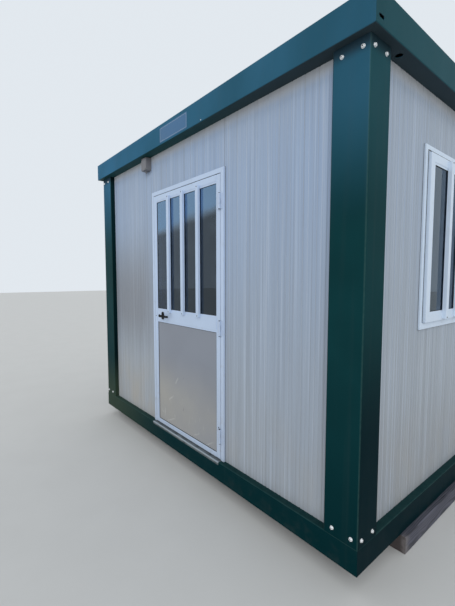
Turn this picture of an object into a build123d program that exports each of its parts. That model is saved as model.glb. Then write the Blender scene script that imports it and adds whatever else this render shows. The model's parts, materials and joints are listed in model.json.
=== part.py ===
from build123d import *
import os

# Portable site cabin: a bolted steel frame of folded sections, infilled with sandwich
# panels, with a glazed door in the front wall and a barred window in the right end.
# Sizes are in millimetres. The origin is on the ground under the middle of the cabin,
# +Z is up, the door faces -Y and the window faces +X.

# Overall sizes
base_length = 3150
base_width = 2400
post_height = 2400
fit_gap = 0.3

# Timber bearers under the two ends
bearer_height = 100
bearer_width = 120
bearer_length = 1472
bearer_stand_out = 30
bearer_chamfer = 4

# Base frame of folded channels
base_height = 140
base_steel = 3
base_bend = 7
base_bottom_flange = 60
base_bottom_lip = 22
floor_bearing_margin = 4

# Floor
deck_thickness = 18
joist_width = 50
joist_steel = 2
joist_lip = 15
joist_count = 7

# Corner posts
post_front_width = 198
post_side_width = 187
post_steel = 4
post_bend = 10

# Roof frame and roof
roof_beam_height = 160
roof_overhang = 43
roof_steel = 3
roof_bend = 6
roof_top_flange = 60
roof_top_lip = 20
ceiling_bearing = 30
ceiling_thickness = 12
purlin_width = 40
purlin_height = 80
purlin_steel = 2
purlin_lip = 12
purlin_count = 6
sheet_steel = 1.5
sheet_rib_height = 28
sheet_rib_crest = 30
sheet_rib_foot = 62
sheet_rib_pitch = 200
slot_width = 47
slot_height = 17
slot_from_corner = 48
slot_height_up = 40
drain_diameter = 36
drain_from_corner = 313
drain_from_edge = 48

# Wall panels
ledge = 46
wall_thickness = 50
module = 1000
joint_bevel = 2
tongue_depth = 12
tongue_width = 20
tongue_taper = 2

# Door
door_clear_width = 954
door_clear_height = 2043
door_casing_face = 33
casing_overlap = 10
casing_proud = 16
inner_trim = 15
inner_trim_thickness = 4
door_stop = 15
door_gap = 5
leaf_thickness = 50
stile_width = 46
top_rail_height = 58
mid_rail_height = 120
bottom_rail_height = 35
mid_rail_above_floor = 930
glass_recess = 6
glass_thickness = 20
glass_bite = 10
groove_depth = 12
bead_width = 13
bead_step = 2
door_bar_width = 34
door_bar_depth = 20
door_bar_overlap = 24
door_bar_count = 3
bar_fillet = 2
threshold_thickness = 2
threshold_lip = 20
threshold_half_width = 485

# Door hinges
hinge_height = 105
hinge_knuckle_radius = 8
hinge_pin_radius = 4
hinge_pin_clearance = 0.3
hinge_knuckle_gap = 1
hinge_stand_off = 2
hinge_plate_thickness = 3
hinge_plate_width = 22
hinge_web_setback = 1
hinge_web_bite = 1
hinge_centre_heights = (180, 965, 1850)

# Door handle
handle_from_stile_edge = 137
rose_width = 34
rose_height = 67
rose_thickness = 8
lever_neck_radius = 8
lever_neck_bite = 5
lever_stand_off = 25
lever_length = 145
lever_hub_radius = 11
lever_tip_radius = 8
lever_thickness = 9
handle_chamfer = 2

# Window
window_sill_height = 1013
window_height = 1080
window_overlap = 6
window_face = 41
window_casing_proud = 12
window_covered_face = 20
window_rebate_gap = 5
window_rebate_depth = 8
sash_face = 62
sash_proud = 28
sash_body_inset = 25
sash_body_depth = 60
window_glass_recess = 6
window_glass_thickness = 20
window_glass_bite = 8
window_groove_depth = 10
window_bar_width = 38
window_bar_depth = 24
window_bar_overlap = 54
window_bar_count = 3
window_bar_pitch = 192

# Junction box under the front soffit
box_width = 90
box_height = 112
box_depth = 55
box_centre = -585
box_fillet = 6
box_lid_step = 2
box_lid_depth = 12
box_lid_chamfer = 2
box_below_soffit = 4

# Levels and lines that follow from the sizes above
base_bottom = bearer_height
base_top = base_bottom + base_height
roof_bottom = base_top + post_height
roof_top = roof_bottom + roof_beam_height
wall_inner = ledge + wall_thickness
base_top_flange = wall_inner + floor_bearing_margin
deck_bottom = base_top - deck_thickness
soffit_depth = wall_inner + ceiling_bearing
ceiling_bottom = roof_bottom + roof_steel
purlin_bottom = ceiling_bottom + ceiling_thickness
sheet_bottom = purlin_bottom + purlin_height
casing_front = ledge - casing_proud
casing_back = wall_inner + inner_trim_thickness
leaf_back = casing_front + leaf_thickness

sides = {
    "front": (0, base_width / 2, base_length / 2),
    "right": (90, base_length / 2, base_width / 2),
    "back": (180, base_width / 2, base_length / 2),
    "left": (270, base_length / 2, base_width / 2),
}


# Shared forms

def on_side(side, shape):
    """Places a shape drawn against the front: x along the side, y inwards from the base's face."""
    turn, reach, _ = sides[side]
    return Rot(0, 0, turn) * Pos(0, -reach, 0) * shape


def folded_section(points, thickness, bend):
    """A bent strip whose outer face follows the points, with the metal on their left."""
    path = FilletPolyline(*points, radius=bend)
    return make_face(offset(path, amount=thickness, side=Side.LEFT).edges())


def sharp_section(points, thickness):
    """A thin strip folded with sharp corners, with the metal on the left of its outer line."""
    path = Polyline(*points)
    return make_face(offset(path, amount=thickness, side=Side.LEFT, kind=Kind.INTERSECTION).edges())


def channel_points(top_flange, bottom_flange, bottom, top, top_lip, bottom_lip, face=0):
    """The outer line of a lipped channel that opens inwards, from its top lip to its bottom lip."""
    return [
        (face + top_flange, top - top_lip),
        (face + top_flange, top),
        (face, top),
        (face, bottom),
        (face + bottom_flange, bottom),
        (face + bottom_flange, bottom + bottom_lip),
    ]


def prism(plane, points, amount):
    """A closed outline on a plane, drawn out both ways."""
    outline = make_face(Polyline(*points, close=True))
    return extrude(plane * outline, amount=amount, both=True)


def upright(points, bottom, top):
    """A closed outline in plan, drawn up from one level to another."""
    outline = make_face(Polyline(*points, close=True))
    return Pos(0, 0, bottom) * extrude(outline, amount=top - bottom)


def block(x_low, x_high, y_low, y_high, z_low, z_high):
    """A rectangular block between two corners."""
    size = (x_high - x_low, y_high - y_low, z_high - z_low)
    return Pos((x_low + x_high) / 2, (y_low + y_high) / 2, (z_low + z_high) / 2) * Box(*size)


def ring_beam(side, section, outer, inner):
    """A folded beam along one side, mitred at both corners of the frame."""
    half = sides[side][2]
    beam = extrude(Plane.YZ * section, amount=half - outer, both=True)
    corner = half - outer - fit_gap / 2
    inner_corner = half - inner - fit_gap / 2
    plan = [(-corner, outer), (corner, outer), (inner_corner, inner), (-inner_corner, inner)]
    return on_side(side, beam & upright(plan, 0, 2 * roof_top))


def frame_bar(section, start, end, mitre_start=True, mitre_end=True):
    """A bar along X round an opening: its section's second value is the way out of the opening."""
    low = min(out for _, out in section)
    high = max(out for _, out in section)
    depth = 2 * max(abs(y) for y, _ in section)
    length = max(abs(start), abs(end)) + high
    first = [(start - (out if mitre_start else 0) + fit_gap / 2, out) for out in (high, low)]
    last = [(end + (out if mitre_end else 0) - fit_gap / 2, out) for out in (low, high)]
    bar = extrude(Plane.YZ * make_face(Polyline(*section, close=True)), amount=length, both=True)
    return bar & prism(Plane.XZ, first + last, depth)


def at_head(level, bar):
    """Puts a frame bar above an opening."""
    return Pos(0, 0, level) * bar


def at_sill(level, bar):
    """Puts a frame bar below an opening."""
    return Pos(0, 0, level) * Rot(0, 180, 0) * bar


def at_jamb(distance, bar):
    """Stands a frame bar at the right of an opening, its start at the top."""
    return Pos(distance, 0, 0) * Rot(0, 90, 0) * bar


def across(shape):
    """The mirror image of a shape from the other side of an opening."""
    return mirror(shape, about=Plane.YZ)


def frame_ring(section, half_width, low, high):
    """Four mitred bars round an opening."""
    level_bar = frame_bar(section, -half_width, half_width)
    right = at_jamb(half_width, frame_bar(section, -high, -low))
    return [at_head(high, level_bar), at_sill(low, level_bar), right, across(right)]


def security_bars(count, pitch, width, depth, front, low, high):
    """Upright bars with rounded edges on the face of a door or a sash."""
    bars = []
    for index in range(count):
        centre = (index - (count - 1) / 2) * pitch
        bar = block(centre - width / 2, centre + width / 2, front - depth, front, low, high)
        outer_edges = bar.edges().filter_by(Axis.Z).group_by(Axis.Y)[0]
        bars.append(fillet(outer_edges, bar_fillet))
    return bars


# Timber bearers

def bearer(direction):
    """A timber under one end of the base frame, standing out a little past it."""
    outer = base_length / 2 + bearer_stand_out
    middle = direction * (outer - bearer_width / 2)
    timber = Pos(middle, 0, bearer_height / 2) * Box(bearer_width, bearer_length, bearer_height)
    return chamfer(timber.edges().filter_by(Axis.Y), bearer_chamfer)


# Base frame and floor

def base_beam(side):
    """A lipped channel that opens inwards, its top flange the ledge that the walls stand on."""
    points = channel_points(base_top_flange, base_bottom_flange, base_bottom, base_top,
                            deck_thickness, base_bottom_lip)
    return ring_beam(side, folded_section(points, base_steel, base_bend), 0, base_top_flange)


def floor_joists():
    """Light channels from front to back, between the lips of the front and back beams."""
    bottom = base_bottom + base_bottom_lip
    points = channel_points(joist_width, joist_width, bottom, deck_bottom, joist_lip, joist_lip)
    section = sharp_section(points, joist_steel)
    half_length = base_width / 2 - base_steel - fit_gap
    joist = extrude(Plane.XZ * section, amount=half_length, both=True)
    first = -(base_length / 2 - base_top_flange - joist_width)
    pitch = (-2 * first - joist_width) / (joist_count - 1)
    return [Pos(first + index * pitch, 0, 0) * joist for index in range(joist_count)]


def floor_deck():
    """The floor board, flush with the ledge and held between the beams' top flanges."""
    length = base_length - 2 * (base_top_flange + fit_gap)
    width = base_width - 2 * (base_top_flange + fit_gap)
    return Pos(0, 0, base_top - deck_thickness / 2) * Box(length, width, deck_thickness)


# Corner posts

def corner_post():
    """The front right post: a folded angle whose two edges return to the wall faces."""
    back = ledge - fit_gap
    points = [
        (-post_front_width, back),
        (-post_front_width, 0),
        (0, 0),
        (0, post_side_width),
        (-back, post_side_width),
    ]
    section = folded_section(points, post_steel, post_bend)
    post = extrude(section, amount=post_height - fit_gap)
    return Pos(base_length / 2, -base_width / 2, base_top) * post


# Roof

def roof_beam(side):
    """The deep fascia with its flat soffit below and a narrow lipped flange on top."""
    points = channel_points(roof_top_flange, roof_overhang + soffit_depth, roof_bottom, roof_top,
                            roof_top_lip, 0, face=-roof_overhang)
    section = folded_section(points[:-1], roof_steel, roof_bend)
    return ring_beam(side, section, -roof_overhang, soffit_depth)


def drained_roof_beam(side):
    """The roof beam on the window's side, with an overflow slot and a drain hole near its front."""
    front = -(base_width / 2 + roof_overhang)
    web = base_length / 2 + roof_overhang
    slot_middle = (web, front + slot_from_corner, roof_bottom + slot_height_up)
    slot = Pos(*slot_middle) * Rot(0, 90, 0) * extrude(
        SlotOverall(slot_width, slot_height, rotation=90), amount=2 * roof_bend, both=True)
    drain_middle = (web - drain_from_edge, front + drain_from_corner, roof_bottom)
    drain = Pos(*drain_middle) * Cylinder(drain_diameter / 2, 4 * roof_steel)
    return roof_beam(side) - slot - drain


def ceiling_panel():
    """The ceiling board, resting on the inner edge of the soffits."""
    length = base_length - 2 * wall_inner - 2 * joint_bevel
    width = base_width - 2 * wall_inner - 2 * joint_bevel
    return Pos(0, 0, ceiling_bottom + ceiling_thickness / 2) * Box(length, width, ceiling_thickness)


def roof_purlins():
    """Light channels across the roof between the front and back fascias."""
    points = channel_points(purlin_width, purlin_width, purlin_bottom, sheet_bottom, purlin_lip, purlin_lip)
    section = sharp_section(points, purlin_steel)
    half_length = base_width / 2 + roof_overhang - roof_steel - fit_gap
    purlin = extrude(Plane.XZ * section, amount=half_length, both=True)
    first = -(base_length / 2 - wall_inner)
    pitch = (-2 * first - purlin_width) / (purlin_count - 1)
    return [Pos(first + index * pitch, 0, 0) * purlin for index in range(purlin_count)]


def roof_sheet():
    """Ribbed sheet inside the fascias, its ribs along the cabin."""
    half_width = base_width / 2 + roof_overhang - roof_steel - fit_gap
    half_length = base_length / 2 + roof_overhang - roof_steel - fit_gap
    rib_count = int(2 * (half_width - sheet_rib_foot) / sheet_rib_pitch) + 1
    upper = [(-half_width, sheet_bottom + sheet_steel)]
    for index in range(rib_count):
        centre = (index - (rib_count - 1) / 2) * sheet_rib_pitch
        for half, rise in ((-sheet_rib_foot, 0), (-sheet_rib_crest, sheet_rib_height),
                           (sheet_rib_crest, sheet_rib_height), (sheet_rib_foot, 0)):
            upper.append((centre + half / 2, sheet_bottom + sheet_steel + rise))
    upper.append((half_width, sheet_bottom + sheet_steel))
    lower = [(y, z - sheet_steel) for y, z in reversed(upper)]
    return prism(Plane.YZ, upper + lower, half_length)


# Walls

def panel_edge(x, direction, kind):
    """One upright edge of a panel in plan, from its outer face to its inner face."""
    middle = (ledge + wall_inner) / 2
    points = [(x - direction * joint_bevel, ledge), (x, ledge + joint_bevel)]
    if kind != "plain":
        slack = fit_gap if kind == "groove" else 0
        reach = x + direction * (tongue_depth if kind == "tongue" else -(tongue_depth + fit_gap))
        half = tongue_width / 2 + slack
        points += [(x, middle - half), (reach, middle - half + tongue_taper),
                   (reach, middle + half - tongue_taper), (x, middle + half)]
    return points + [(x, wall_inner - joint_bevel), (x - direction * joint_bevel, wall_inner)]


def wall_panel(start, end, low, high, left="plain", right="plain"):
    """A sandwich panel between two uprights, with a tongue or a groove on its edges."""
    outline = panel_edge(end, 1, right) + panel_edge(start, -1, left)[::-1]
    return upright(outline, low, high)


wall_top = roof_bottom - fit_gap
long_wall_half = base_length / 2 - ledge
short_wall_half = base_width / 2 - wall_inner - fit_gap
joint_line = module / 2
joint_side = joint_line + fit_gap / 2


def whole_wall(side, half):
    """A wall with no opening: a middle module and two made-up panels, tongued into each other."""
    panels = [
        wall_panel(-half, -joint_side, base_top, wall_top, right="tongue"),
        wall_panel(-joint_line + fit_gap / 2, joint_line - fit_gap / 2, base_top, wall_top,
                   left="groove", right="tongue"),
        wall_panel(joint_side, half, base_top, wall_top, left="groove"),
    ]
    return [on_side(side, panel) for panel in panels]


def side_panel(side, direction, half):
    """The panel that closes a wall beside its opening, on the left (-1) or the right (1)."""
    start, end = sorted((direction * joint_side, direction * half))
    return on_side(side, wall_panel(start, end, base_top, wall_top))


def filling_panel(side, low, high):
    """The panel of the middle module above or below an opening."""
    half = joint_line - fit_gap / 2
    return on_side(side, wall_panel(-half, half, low, high))


# Door frame and threshold

door_clear_half = door_clear_width / 2
door_clear_top = base_top + door_clear_height
door_hole_top = door_clear_top + door_casing_face - casing_overlap
stop_front = leaf_back + door_gap


def casing_section(front, face, overlap, opening_side):
    """A frame profile that grips the wall's edge: outer face, web through the wall, inner trim.

    The points on the opening's side run from the profile's back to its front.
    """
    web = face - overlap - fit_gap
    return [
        (front, face), (ledge, face), (ledge, web), (wall_inner, web),
        (wall_inner, face + inner_trim), (casing_back, face + inner_trim),
    ] + opening_side


def door_casing_section():
    """The door's frame profile, with the stop that the leaf closes against."""
    stop = [(casing_back, -door_stop), (stop_front, -door_stop), (stop_front, 0), (casing_front, 0)]
    return casing_section(casing_front, door_casing_face, casing_overlap, stop)


def door_jamb():
    """The right side of the door frame, from the ledge to its mitre."""
    bar = frame_bar(door_casing_section(), -door_clear_top, -base_top + fit_gap / 2, mitre_end=False)
    return at_jamb(door_clear_half, bar)


def door_head():
    """The top of the door frame, mitred to both jambs."""
    return at_head(door_clear_top, frame_bar(door_casing_section(), -door_clear_half, door_clear_half))


def door_threshold():
    """A metal angle over the ledge, with its lip down the base's face."""
    back = stop_front - fit_gap
    neck_half = door_clear_half - fit_gap
    neck_front = casing_front - fit_gap
    top = base_top + threshold_thickness
    half, front = threshold_half_width, -threshold_thickness
    plate = block(-half, half, front, neck_front, base_top, top)
    neck = block(-neck_half, neck_half, neck_front, back, base_top, top)
    lip = block(-half, half, front, 0, base_top - threshold_lip, base_top)
    return plate + neck + lip


# Door leaf

leaf_half = door_clear_half - door_gap
leaf_bottom = base_top + threshold_thickness + door_gap
leaf_top = door_clear_top - door_gap
door_glass_half = leaf_half - stile_width
door_glass_top = leaf_top - top_rail_height
mid_rail_bottom = base_top + mid_rail_above_floor
door_glass_bottom = mid_rail_bottom + mid_rail_height
door_panel_bottom = leaf_bottom + bottom_rail_height
door_glass_front = casing_front + glass_recess
door_bar_pitch = 2 * door_glass_half / (door_bar_count + 1)


def glazed_edge(front, pane_front, pane_thickness, depth):
    """The glazing groove and the stepped-back bead along a profile's inner edge, from back to front."""
    near = pane_front - fit_gap
    far = pane_front + pane_thickness + fit_gap
    return [(far, 0), (far, depth), (near, depth), (near, 0),
            (front + bead_step, 0), (front + bead_step, bead_width), (front, bead_width)]


def glazed_profile(width, both_edges=False):
    """A leaf profile with a glazing groove and a bead in its inner edge, or in both edges."""
    edge = glazed_edge(casing_front, door_glass_front, glass_thickness, groove_depth)
    points = [(leaf_back, 0)] + edge
    if both_edges:
        points += [(y, width - out) for y, out in reversed(edge)]
    else:
        points += [(casing_front, width)]
    return points + [(leaf_back, width)]


def door_leaf_frame():
    """Two full-height stiles and three rails between them."""
    stile = at_jamb(door_glass_half, frame_bar(glazed_profile(stile_width), -leaf_top, -leaf_bottom,
                                               mitre_start=False, mitre_end=False))
    rails = []
    for width, level, place, both in ((top_rail_height, door_glass_top, at_head, False),
                                      (mid_rail_height, door_glass_bottom, at_sill, True),
                                      (bottom_rail_height, door_panel_bottom, at_sill, False)):
        bar = frame_bar(glazed_profile(width, both), -door_glass_half, door_glass_half,
                        mitre_start=False, mitre_end=False)
        rails.append(place(level, bar))
    return [stile, across(stile)] + rails


def leaf_infill(low, high):
    """A pane or a panel held in the leaf's grooves."""
    half = door_glass_half + glass_bite
    return block(-half, half, door_glass_front, door_glass_front + glass_thickness,
                 low - glass_bite, high + glass_bite)


# Door hinges

hinge_x = door_clear_half - door_gap / 2
hinge_y = casing_front - hinge_knuckle_radius - hinge_stand_off
hinge_plate_start = hinge_knuckle_radius - hinge_stand_off
knuckle_height = (hinge_height - 2 * hinge_knuckle_gap) / 3


def hinge_knuckle(order, radius=hinge_knuckle_radius):
    """One of a hinge's three knuckles, counted from the bottom."""
    low = -hinge_height / 2 + order * (knuckle_height + hinge_knuckle_gap)
    return Pos(hinge_x, hinge_y, low + knuckle_height / 2) * Cylinder(radius, knuckle_height)


def hinge_web(order, direction):
    """The short plate from the pin's line to a hinge's flap, behind one knuckle."""
    low = -hinge_height / 2 + order * (knuckle_height + hinge_knuckle_gap)
    start, end = sorted((hinge_x, hinge_x + direction * (hinge_plate_start + hinge_web_bite)))
    front = hinge_y + hinge_pin_radius + hinge_web_setback
    return block(start, end, front, casing_front, low, low + knuckle_height)


def hinge_flap(direction):
    """The plate of a hinge on the door frame's face (1) or on the leaf's face (-1)."""
    start, end = sorted((hinge_x + direction * hinge_plate_start,
                         hinge_x + direction * (hinge_plate_start + hinge_plate_width)))
    return block(start, end, casing_front - hinge_plate_thickness, casing_front,
                 -hinge_height / 2, hinge_height / 2)


def hinge_halves():
    """A hinge's fixed half, with the lower and upper knuckles, and its moving half with the pin."""
    bore = Pos(hinge_x, hinge_y, 0) * Cylinder(hinge_pin_radius + hinge_pin_clearance, 2 * hinge_height)
    pin = Pos(hinge_x, hinge_y, 0) * Cylinder(hinge_pin_radius, hinge_height)
    fixed = hinge_flap(1)
    for order in (0, 2):
        fixed = fixed + hinge_knuckle(order) + hinge_web(order, 1)
    moving = hinge_flap(-1) + hinge_knuckle(1) + hinge_web(1, -1) + pin
    return fixed - bore, moving


def door_hinges():
    """Three hinges on the right of the door, as two lists of halves."""
    fixed, moving = hinge_halves()
    levels = [base_top + height for height in hinge_centre_heights]
    return [Pos(0, 0, z) * fixed for z in levels], [Pos(0, 0, z) * moving for z in levels]


# Door handle

handle_x = -leaf_half + handle_from_stile_edge
handle_z = mid_rail_bottom + mid_rail_height / 2
lever_back = casing_front - rose_thickness - lever_stand_off


def handle_plate():
    """The upright plate behind the lever, with the socket that the lever's neck turns in."""
    outline = Plane.XZ * SlotOverall(rose_height, rose_width, rotation=90)
    plate = extrude(outline, amount=rose_thickness)
    plate = chamfer(plate.faces().sort_by(Axis.Y)[0].edges(), handle_chamfer)
    socket_radius = lever_neck_radius + fit_gap
    socket_depth = lever_neck_bite + fit_gap
    socket_middle = -rose_thickness + socket_depth / 2
    socket = Pos(0, socket_middle, 0) * Rot(90, 0, 0) * Cylinder(socket_radius, socket_depth)
    return Pos(handle_x, casing_front, handle_z) * (plate - socket)


def door_lever():
    """The lever: a round neck and a flat grip that tapers towards the hinges."""
    hub = Circle(lever_hub_radius)
    tip = Pos(lever_length - lever_hub_radius, 0) * Circle(lever_tip_radius)
    outline = make_hull(hub.edges() + tip.edges())
    grip = Pos(0, lever_back, 0) * extrude(Plane.XZ * outline, amount=lever_thickness)
    grip = chamfer(grip.faces().sort_by(Axis.Y)[0].edges(), handle_chamfer)
    neck_back = casing_front - rose_thickness + lever_neck_bite
    neck_length = neck_back - lever_back
    neck = Pos(0, lever_back + neck_length / 2, 0) * Rot(90, 0, 0) * Cylinder(lever_neck_radius, neck_length)
    return Pos(handle_x, 0, handle_z) * (grip + neck)


# Window

window_hole_low = base_top + window_sill_height + window_overlap
window_hole_high = window_hole_low + window_height - 2 * window_overlap
sash_half = joint_line + window_overlap - window_face
sash_low = window_hole_low - window_overlap + window_face
sash_high = window_hole_high + window_overlap - window_face
window_glass_half = sash_half - sash_face
window_glass_low = sash_low + sash_face
window_glass_high = sash_high - sash_face
sash_front = ledge - sash_proud
window_glass_front = sash_front + window_glass_recess
window_front = ledge - window_casing_proud
window_rebate_face = window_front + window_rebate_depth


def window_frame():
    """The fixed frame, with a rebate round its opening that the sash's lip covers in part."""
    rebate = [(casing_back, -window_covered_face), (window_rebate_face, -window_covered_face),
              (window_rebate_face, window_rebate_gap), (window_front, window_rebate_gap)]
    section = casing_section(window_front, window_face, window_overlap, rebate)
    ring = frame_ring(section, sash_half, sash_low, sash_high)
    return [on_side("right", bar) for bar in ring]


def window_sash():
    """The sash: its outer lip lies in the frame's rebate and its body reaches through the frame."""
    lip_back = window_rebate_face - fit_gap
    body = sash_face - sash_body_inset
    body_back = sash_front + sash_body_depth
    edge = glazed_edge(sash_front, window_glass_front, window_glass_thickness, window_groove_depth)
    section = [(body_back, 0)] + edge + [
        (sash_front, sash_face), (lip_back, sash_face), (lip_back, body), (body_back, body),
    ]
    ring = frame_ring(section, window_glass_half, window_glass_low, window_glass_high)
    return [on_side("right", bar) for bar in ring]


def window_glass():
    """The window's pane, held in the sash's groove."""
    half = window_glass_half + window_glass_bite
    pane = block(-half, half, window_glass_front, window_glass_front + window_glass_thickness,
                 window_glass_low - window_glass_bite, window_glass_high + window_glass_bite)
    return on_side("right", pane)


def window_bars():
    """Upright bars across the sash's face."""
    bars = security_bars(window_bar_count, window_bar_pitch, window_bar_width, window_bar_depth, sash_front,
                         window_glass_low - window_bar_overlap, window_glass_high + window_bar_overlap)
    return [on_side("right", bar) for bar in bars]


# Junction box

def junction_box():
    """A plastic box on the wall, close under the soffit, its lid standing in from its edge."""
    top = wall_top - box_below_soffit
    half = box_width / 2
    body = block(-half, half, ledge - box_depth + box_lid_depth, ledge, top - box_height, top)
    front = ledge - box_depth
    lid = block(-half + box_lid_step, half - box_lid_step, front, front + box_lid_depth,
                top - box_height + box_lid_step, top - box_lid_step)
    body = fillet(body.edges().filter_by(Axis.Y), box_fillet)
    lid = fillet(lid.edges().filter_by(Axis.Y), box_fillet)
    lid = chamfer(lid.faces().sort_by(Axis.Y)[0].edges(), box_lid_chamfer)
    return on_side("front", Pos(box_centre, 0, 0) * (body + lid))


# The whole cabin, node by node

def build_nodes():
    """Every node of the cabin, by name."""
    nodes = {
        "bearer_left": bearer(-1),
        "bearer_right": bearer(1),
        "floor_joists": floor_joists(),
        "floor_deck": floor_deck(),
    }
    for side in sides:
        nodes[f"base_beam_{side}"] = base_beam(side)
        nodes[f"roof_beam_{side}"] = drained_roof_beam(side) if side == "right" else roof_beam(side)

    post = corner_post()
    nodes["corner_post_front_right"] = post
    nodes["corner_post_front_left"] = mirror(post, about=Plane.YZ)
    nodes["corner_post_back_right"] = mirror(post, about=Plane.XZ)
    nodes["corner_post_back_left"] = mirror(mirror(post, about=Plane.XZ), about=Plane.YZ)

    nodes["ceiling_panel"] = ceiling_panel()
    nodes["roof_purlins"] = roof_purlins()
    nodes["roof_sheet"] = roof_sheet()

    nodes["back_wall"] = whole_wall("back", long_wall_half)
    nodes["left_wall"] = whole_wall("left", short_wall_half)
    nodes["front_wall_left"] = side_panel("front", -1, long_wall_half)
    nodes["front_wall_right"] = side_panel("front", 1, long_wall_half)
    nodes["front_wall_over_door"] = filling_panel("front", door_hole_top, wall_top)
    nodes["right_wall_front"] = side_panel("right", -1, short_wall_half)
    nodes["right_wall_back"] = side_panel("right", 1, short_wall_half)
    nodes["right_wall_under_window"] = filling_panel("right", base_top, window_hole_low)
    nodes["right_wall_over_window"] = filling_panel("right", window_hole_high, wall_top)

    jamb = door_jamb()
    fixed_hinges, moving_hinges = door_hinges()
    door_bars = security_bars(door_bar_count, door_bar_pitch, door_bar_width, door_bar_depth, casing_front,
                              door_glass_bottom - door_bar_overlap, door_glass_top + door_bar_overlap)
    front_pieces = {
        "door_frame_left": across(jamb),
        "door_frame_right": jamb,
        "door_frame_head": door_head(),
        "door_threshold": door_threshold(),
        "door_leaf_frame": door_leaf_frame(),
        "door_glass": leaf_infill(door_glass_bottom, door_glass_top),
        "door_lower_panel": leaf_infill(door_panel_bottom, mid_rail_bottom),
        "door_bars": door_bars,
        "door_hinges_fixed": fixed_hinges,
        "door_hinges_leaf": moving_hinges,
        "door_handle_plate": handle_plate(),
        "door_lever": door_lever(),
    }
    for name, piece in front_pieces.items():
        solids = piece if isinstance(piece, list) else [piece]
        nodes[name] = [on_side("front", solid) for solid in solids]

    nodes["window_frame"] = window_frame()
    nodes["window_sash"] = window_sash()
    nodes["window_glass"] = window_glass()
    nodes["window_bars"] = window_bars()
    nodes["junction_box"] = junction_box()
    return nodes


os.makedirs("parts", exist_ok=True)
for name, shape in build_nodes().items():
    pieces = shape if isinstance(shape, list) else [shape]
    solids = [solid for piece in pieces for solid in piece.solids()]
    export_step(Compound(children=solids), f"parts/{name}.step")
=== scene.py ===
"""Dresses the portable site cabin with ribbed wall skins, bolts, seals, screws and its finishes.

Lengths are in metres, in the frame of the cabin: the origin is on the ground under its middle, the door
faces -Y and the window faces +X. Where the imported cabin's pieces lie is read from their own boxes, and
sizes that the boxes don't give are fields of the classes.
"""
import json
import logging
import math
from collections.abc import Callable, Iterable
from dataclasses import dataclass, field
from enum import Enum

import bmesh
import bpy
from mathutils import Matrix, Vector


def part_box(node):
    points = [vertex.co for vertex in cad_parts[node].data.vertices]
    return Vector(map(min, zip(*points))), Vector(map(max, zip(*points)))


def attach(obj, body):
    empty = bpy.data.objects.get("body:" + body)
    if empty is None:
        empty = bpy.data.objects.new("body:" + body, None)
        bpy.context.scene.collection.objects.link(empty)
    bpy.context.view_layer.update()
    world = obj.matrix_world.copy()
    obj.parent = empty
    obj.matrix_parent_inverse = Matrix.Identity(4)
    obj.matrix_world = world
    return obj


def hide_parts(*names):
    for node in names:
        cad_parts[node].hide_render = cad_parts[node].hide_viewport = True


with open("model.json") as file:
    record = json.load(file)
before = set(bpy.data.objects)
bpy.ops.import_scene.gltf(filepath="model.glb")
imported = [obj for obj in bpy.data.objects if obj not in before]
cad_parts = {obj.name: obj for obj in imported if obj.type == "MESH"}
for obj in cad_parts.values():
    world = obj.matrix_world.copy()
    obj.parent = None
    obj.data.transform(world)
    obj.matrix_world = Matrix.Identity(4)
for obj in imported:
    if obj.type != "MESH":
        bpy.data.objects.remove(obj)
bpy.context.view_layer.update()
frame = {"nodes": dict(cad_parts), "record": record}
LOG = logging.getLogger("cabin")

# Two places nearer than this are the same.
SLACK = 1e-5
# From here on a unit direction counts as lying along an axis.
ALIGNED = 0.9
# The level of the roof's soffits.
SOFFIT = 2.64
# The Y where a finish begins to treat a piece as one of the front's, and where it fully does.
FRONT_ZONE = (-0.9, -1.1)
# How far a face looks along X where a finish begins to treat it as an end's, and where it fully does.
END_FACE = (0.5, 0.8)

Point = tuple[float, float, float]
Colour = tuple[float, float, float]


class Body(Enum):
    """The bodies that the scene's own pieces ride on."""

    CABIN = "cabin"
    DOOR = "door"


class Slot(Enum):
    """The record's material slots."""

    FRAME = "frame_green"
    PANEL = "panel_white"
    ALUMINIUM = "aluminium_white"
    GLASS = "glass"
    DOOR_PANEL = "door_panel"
    HINGE = "hinge_white"
    HANDLE = "handle_black"
    THRESHOLD = "threshold_metal"
    BOX = "box_plastic"
    TIMBER = "timber"
    FLOOR = "floor_board"
    CEILING = "ceiling_white"
    GALVANISED = "galvanised"


class Side(Enum):
    """A side of the cabin, as its turn about Z from the front, in degrees."""

    FRONT = 0
    RIGHT = 90
    BACK = 180
    LEFT = 270

    def turn(self) -> Matrix:
        """Gives the turn that brings a piece drawn against the front to this side."""
        return Matrix.Rotation(math.radians(self.value), 4, "Z")


class Pick(Enum):
    """What edit mode selects."""

    VERTS = "VERT"
    EDGES = "EDGE"
    FACES = "FACE"


Chosen = Callable[[Vector, Vector], bool]


def everything(place: Vector, direction: Vector) -> bool:
    """Chooses every element of a mesh."""
    return True


def near(value: float, target: float) -> bool:
    """Tells whether a value is at a target."""
    return abs(value - target) < SLACK


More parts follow.
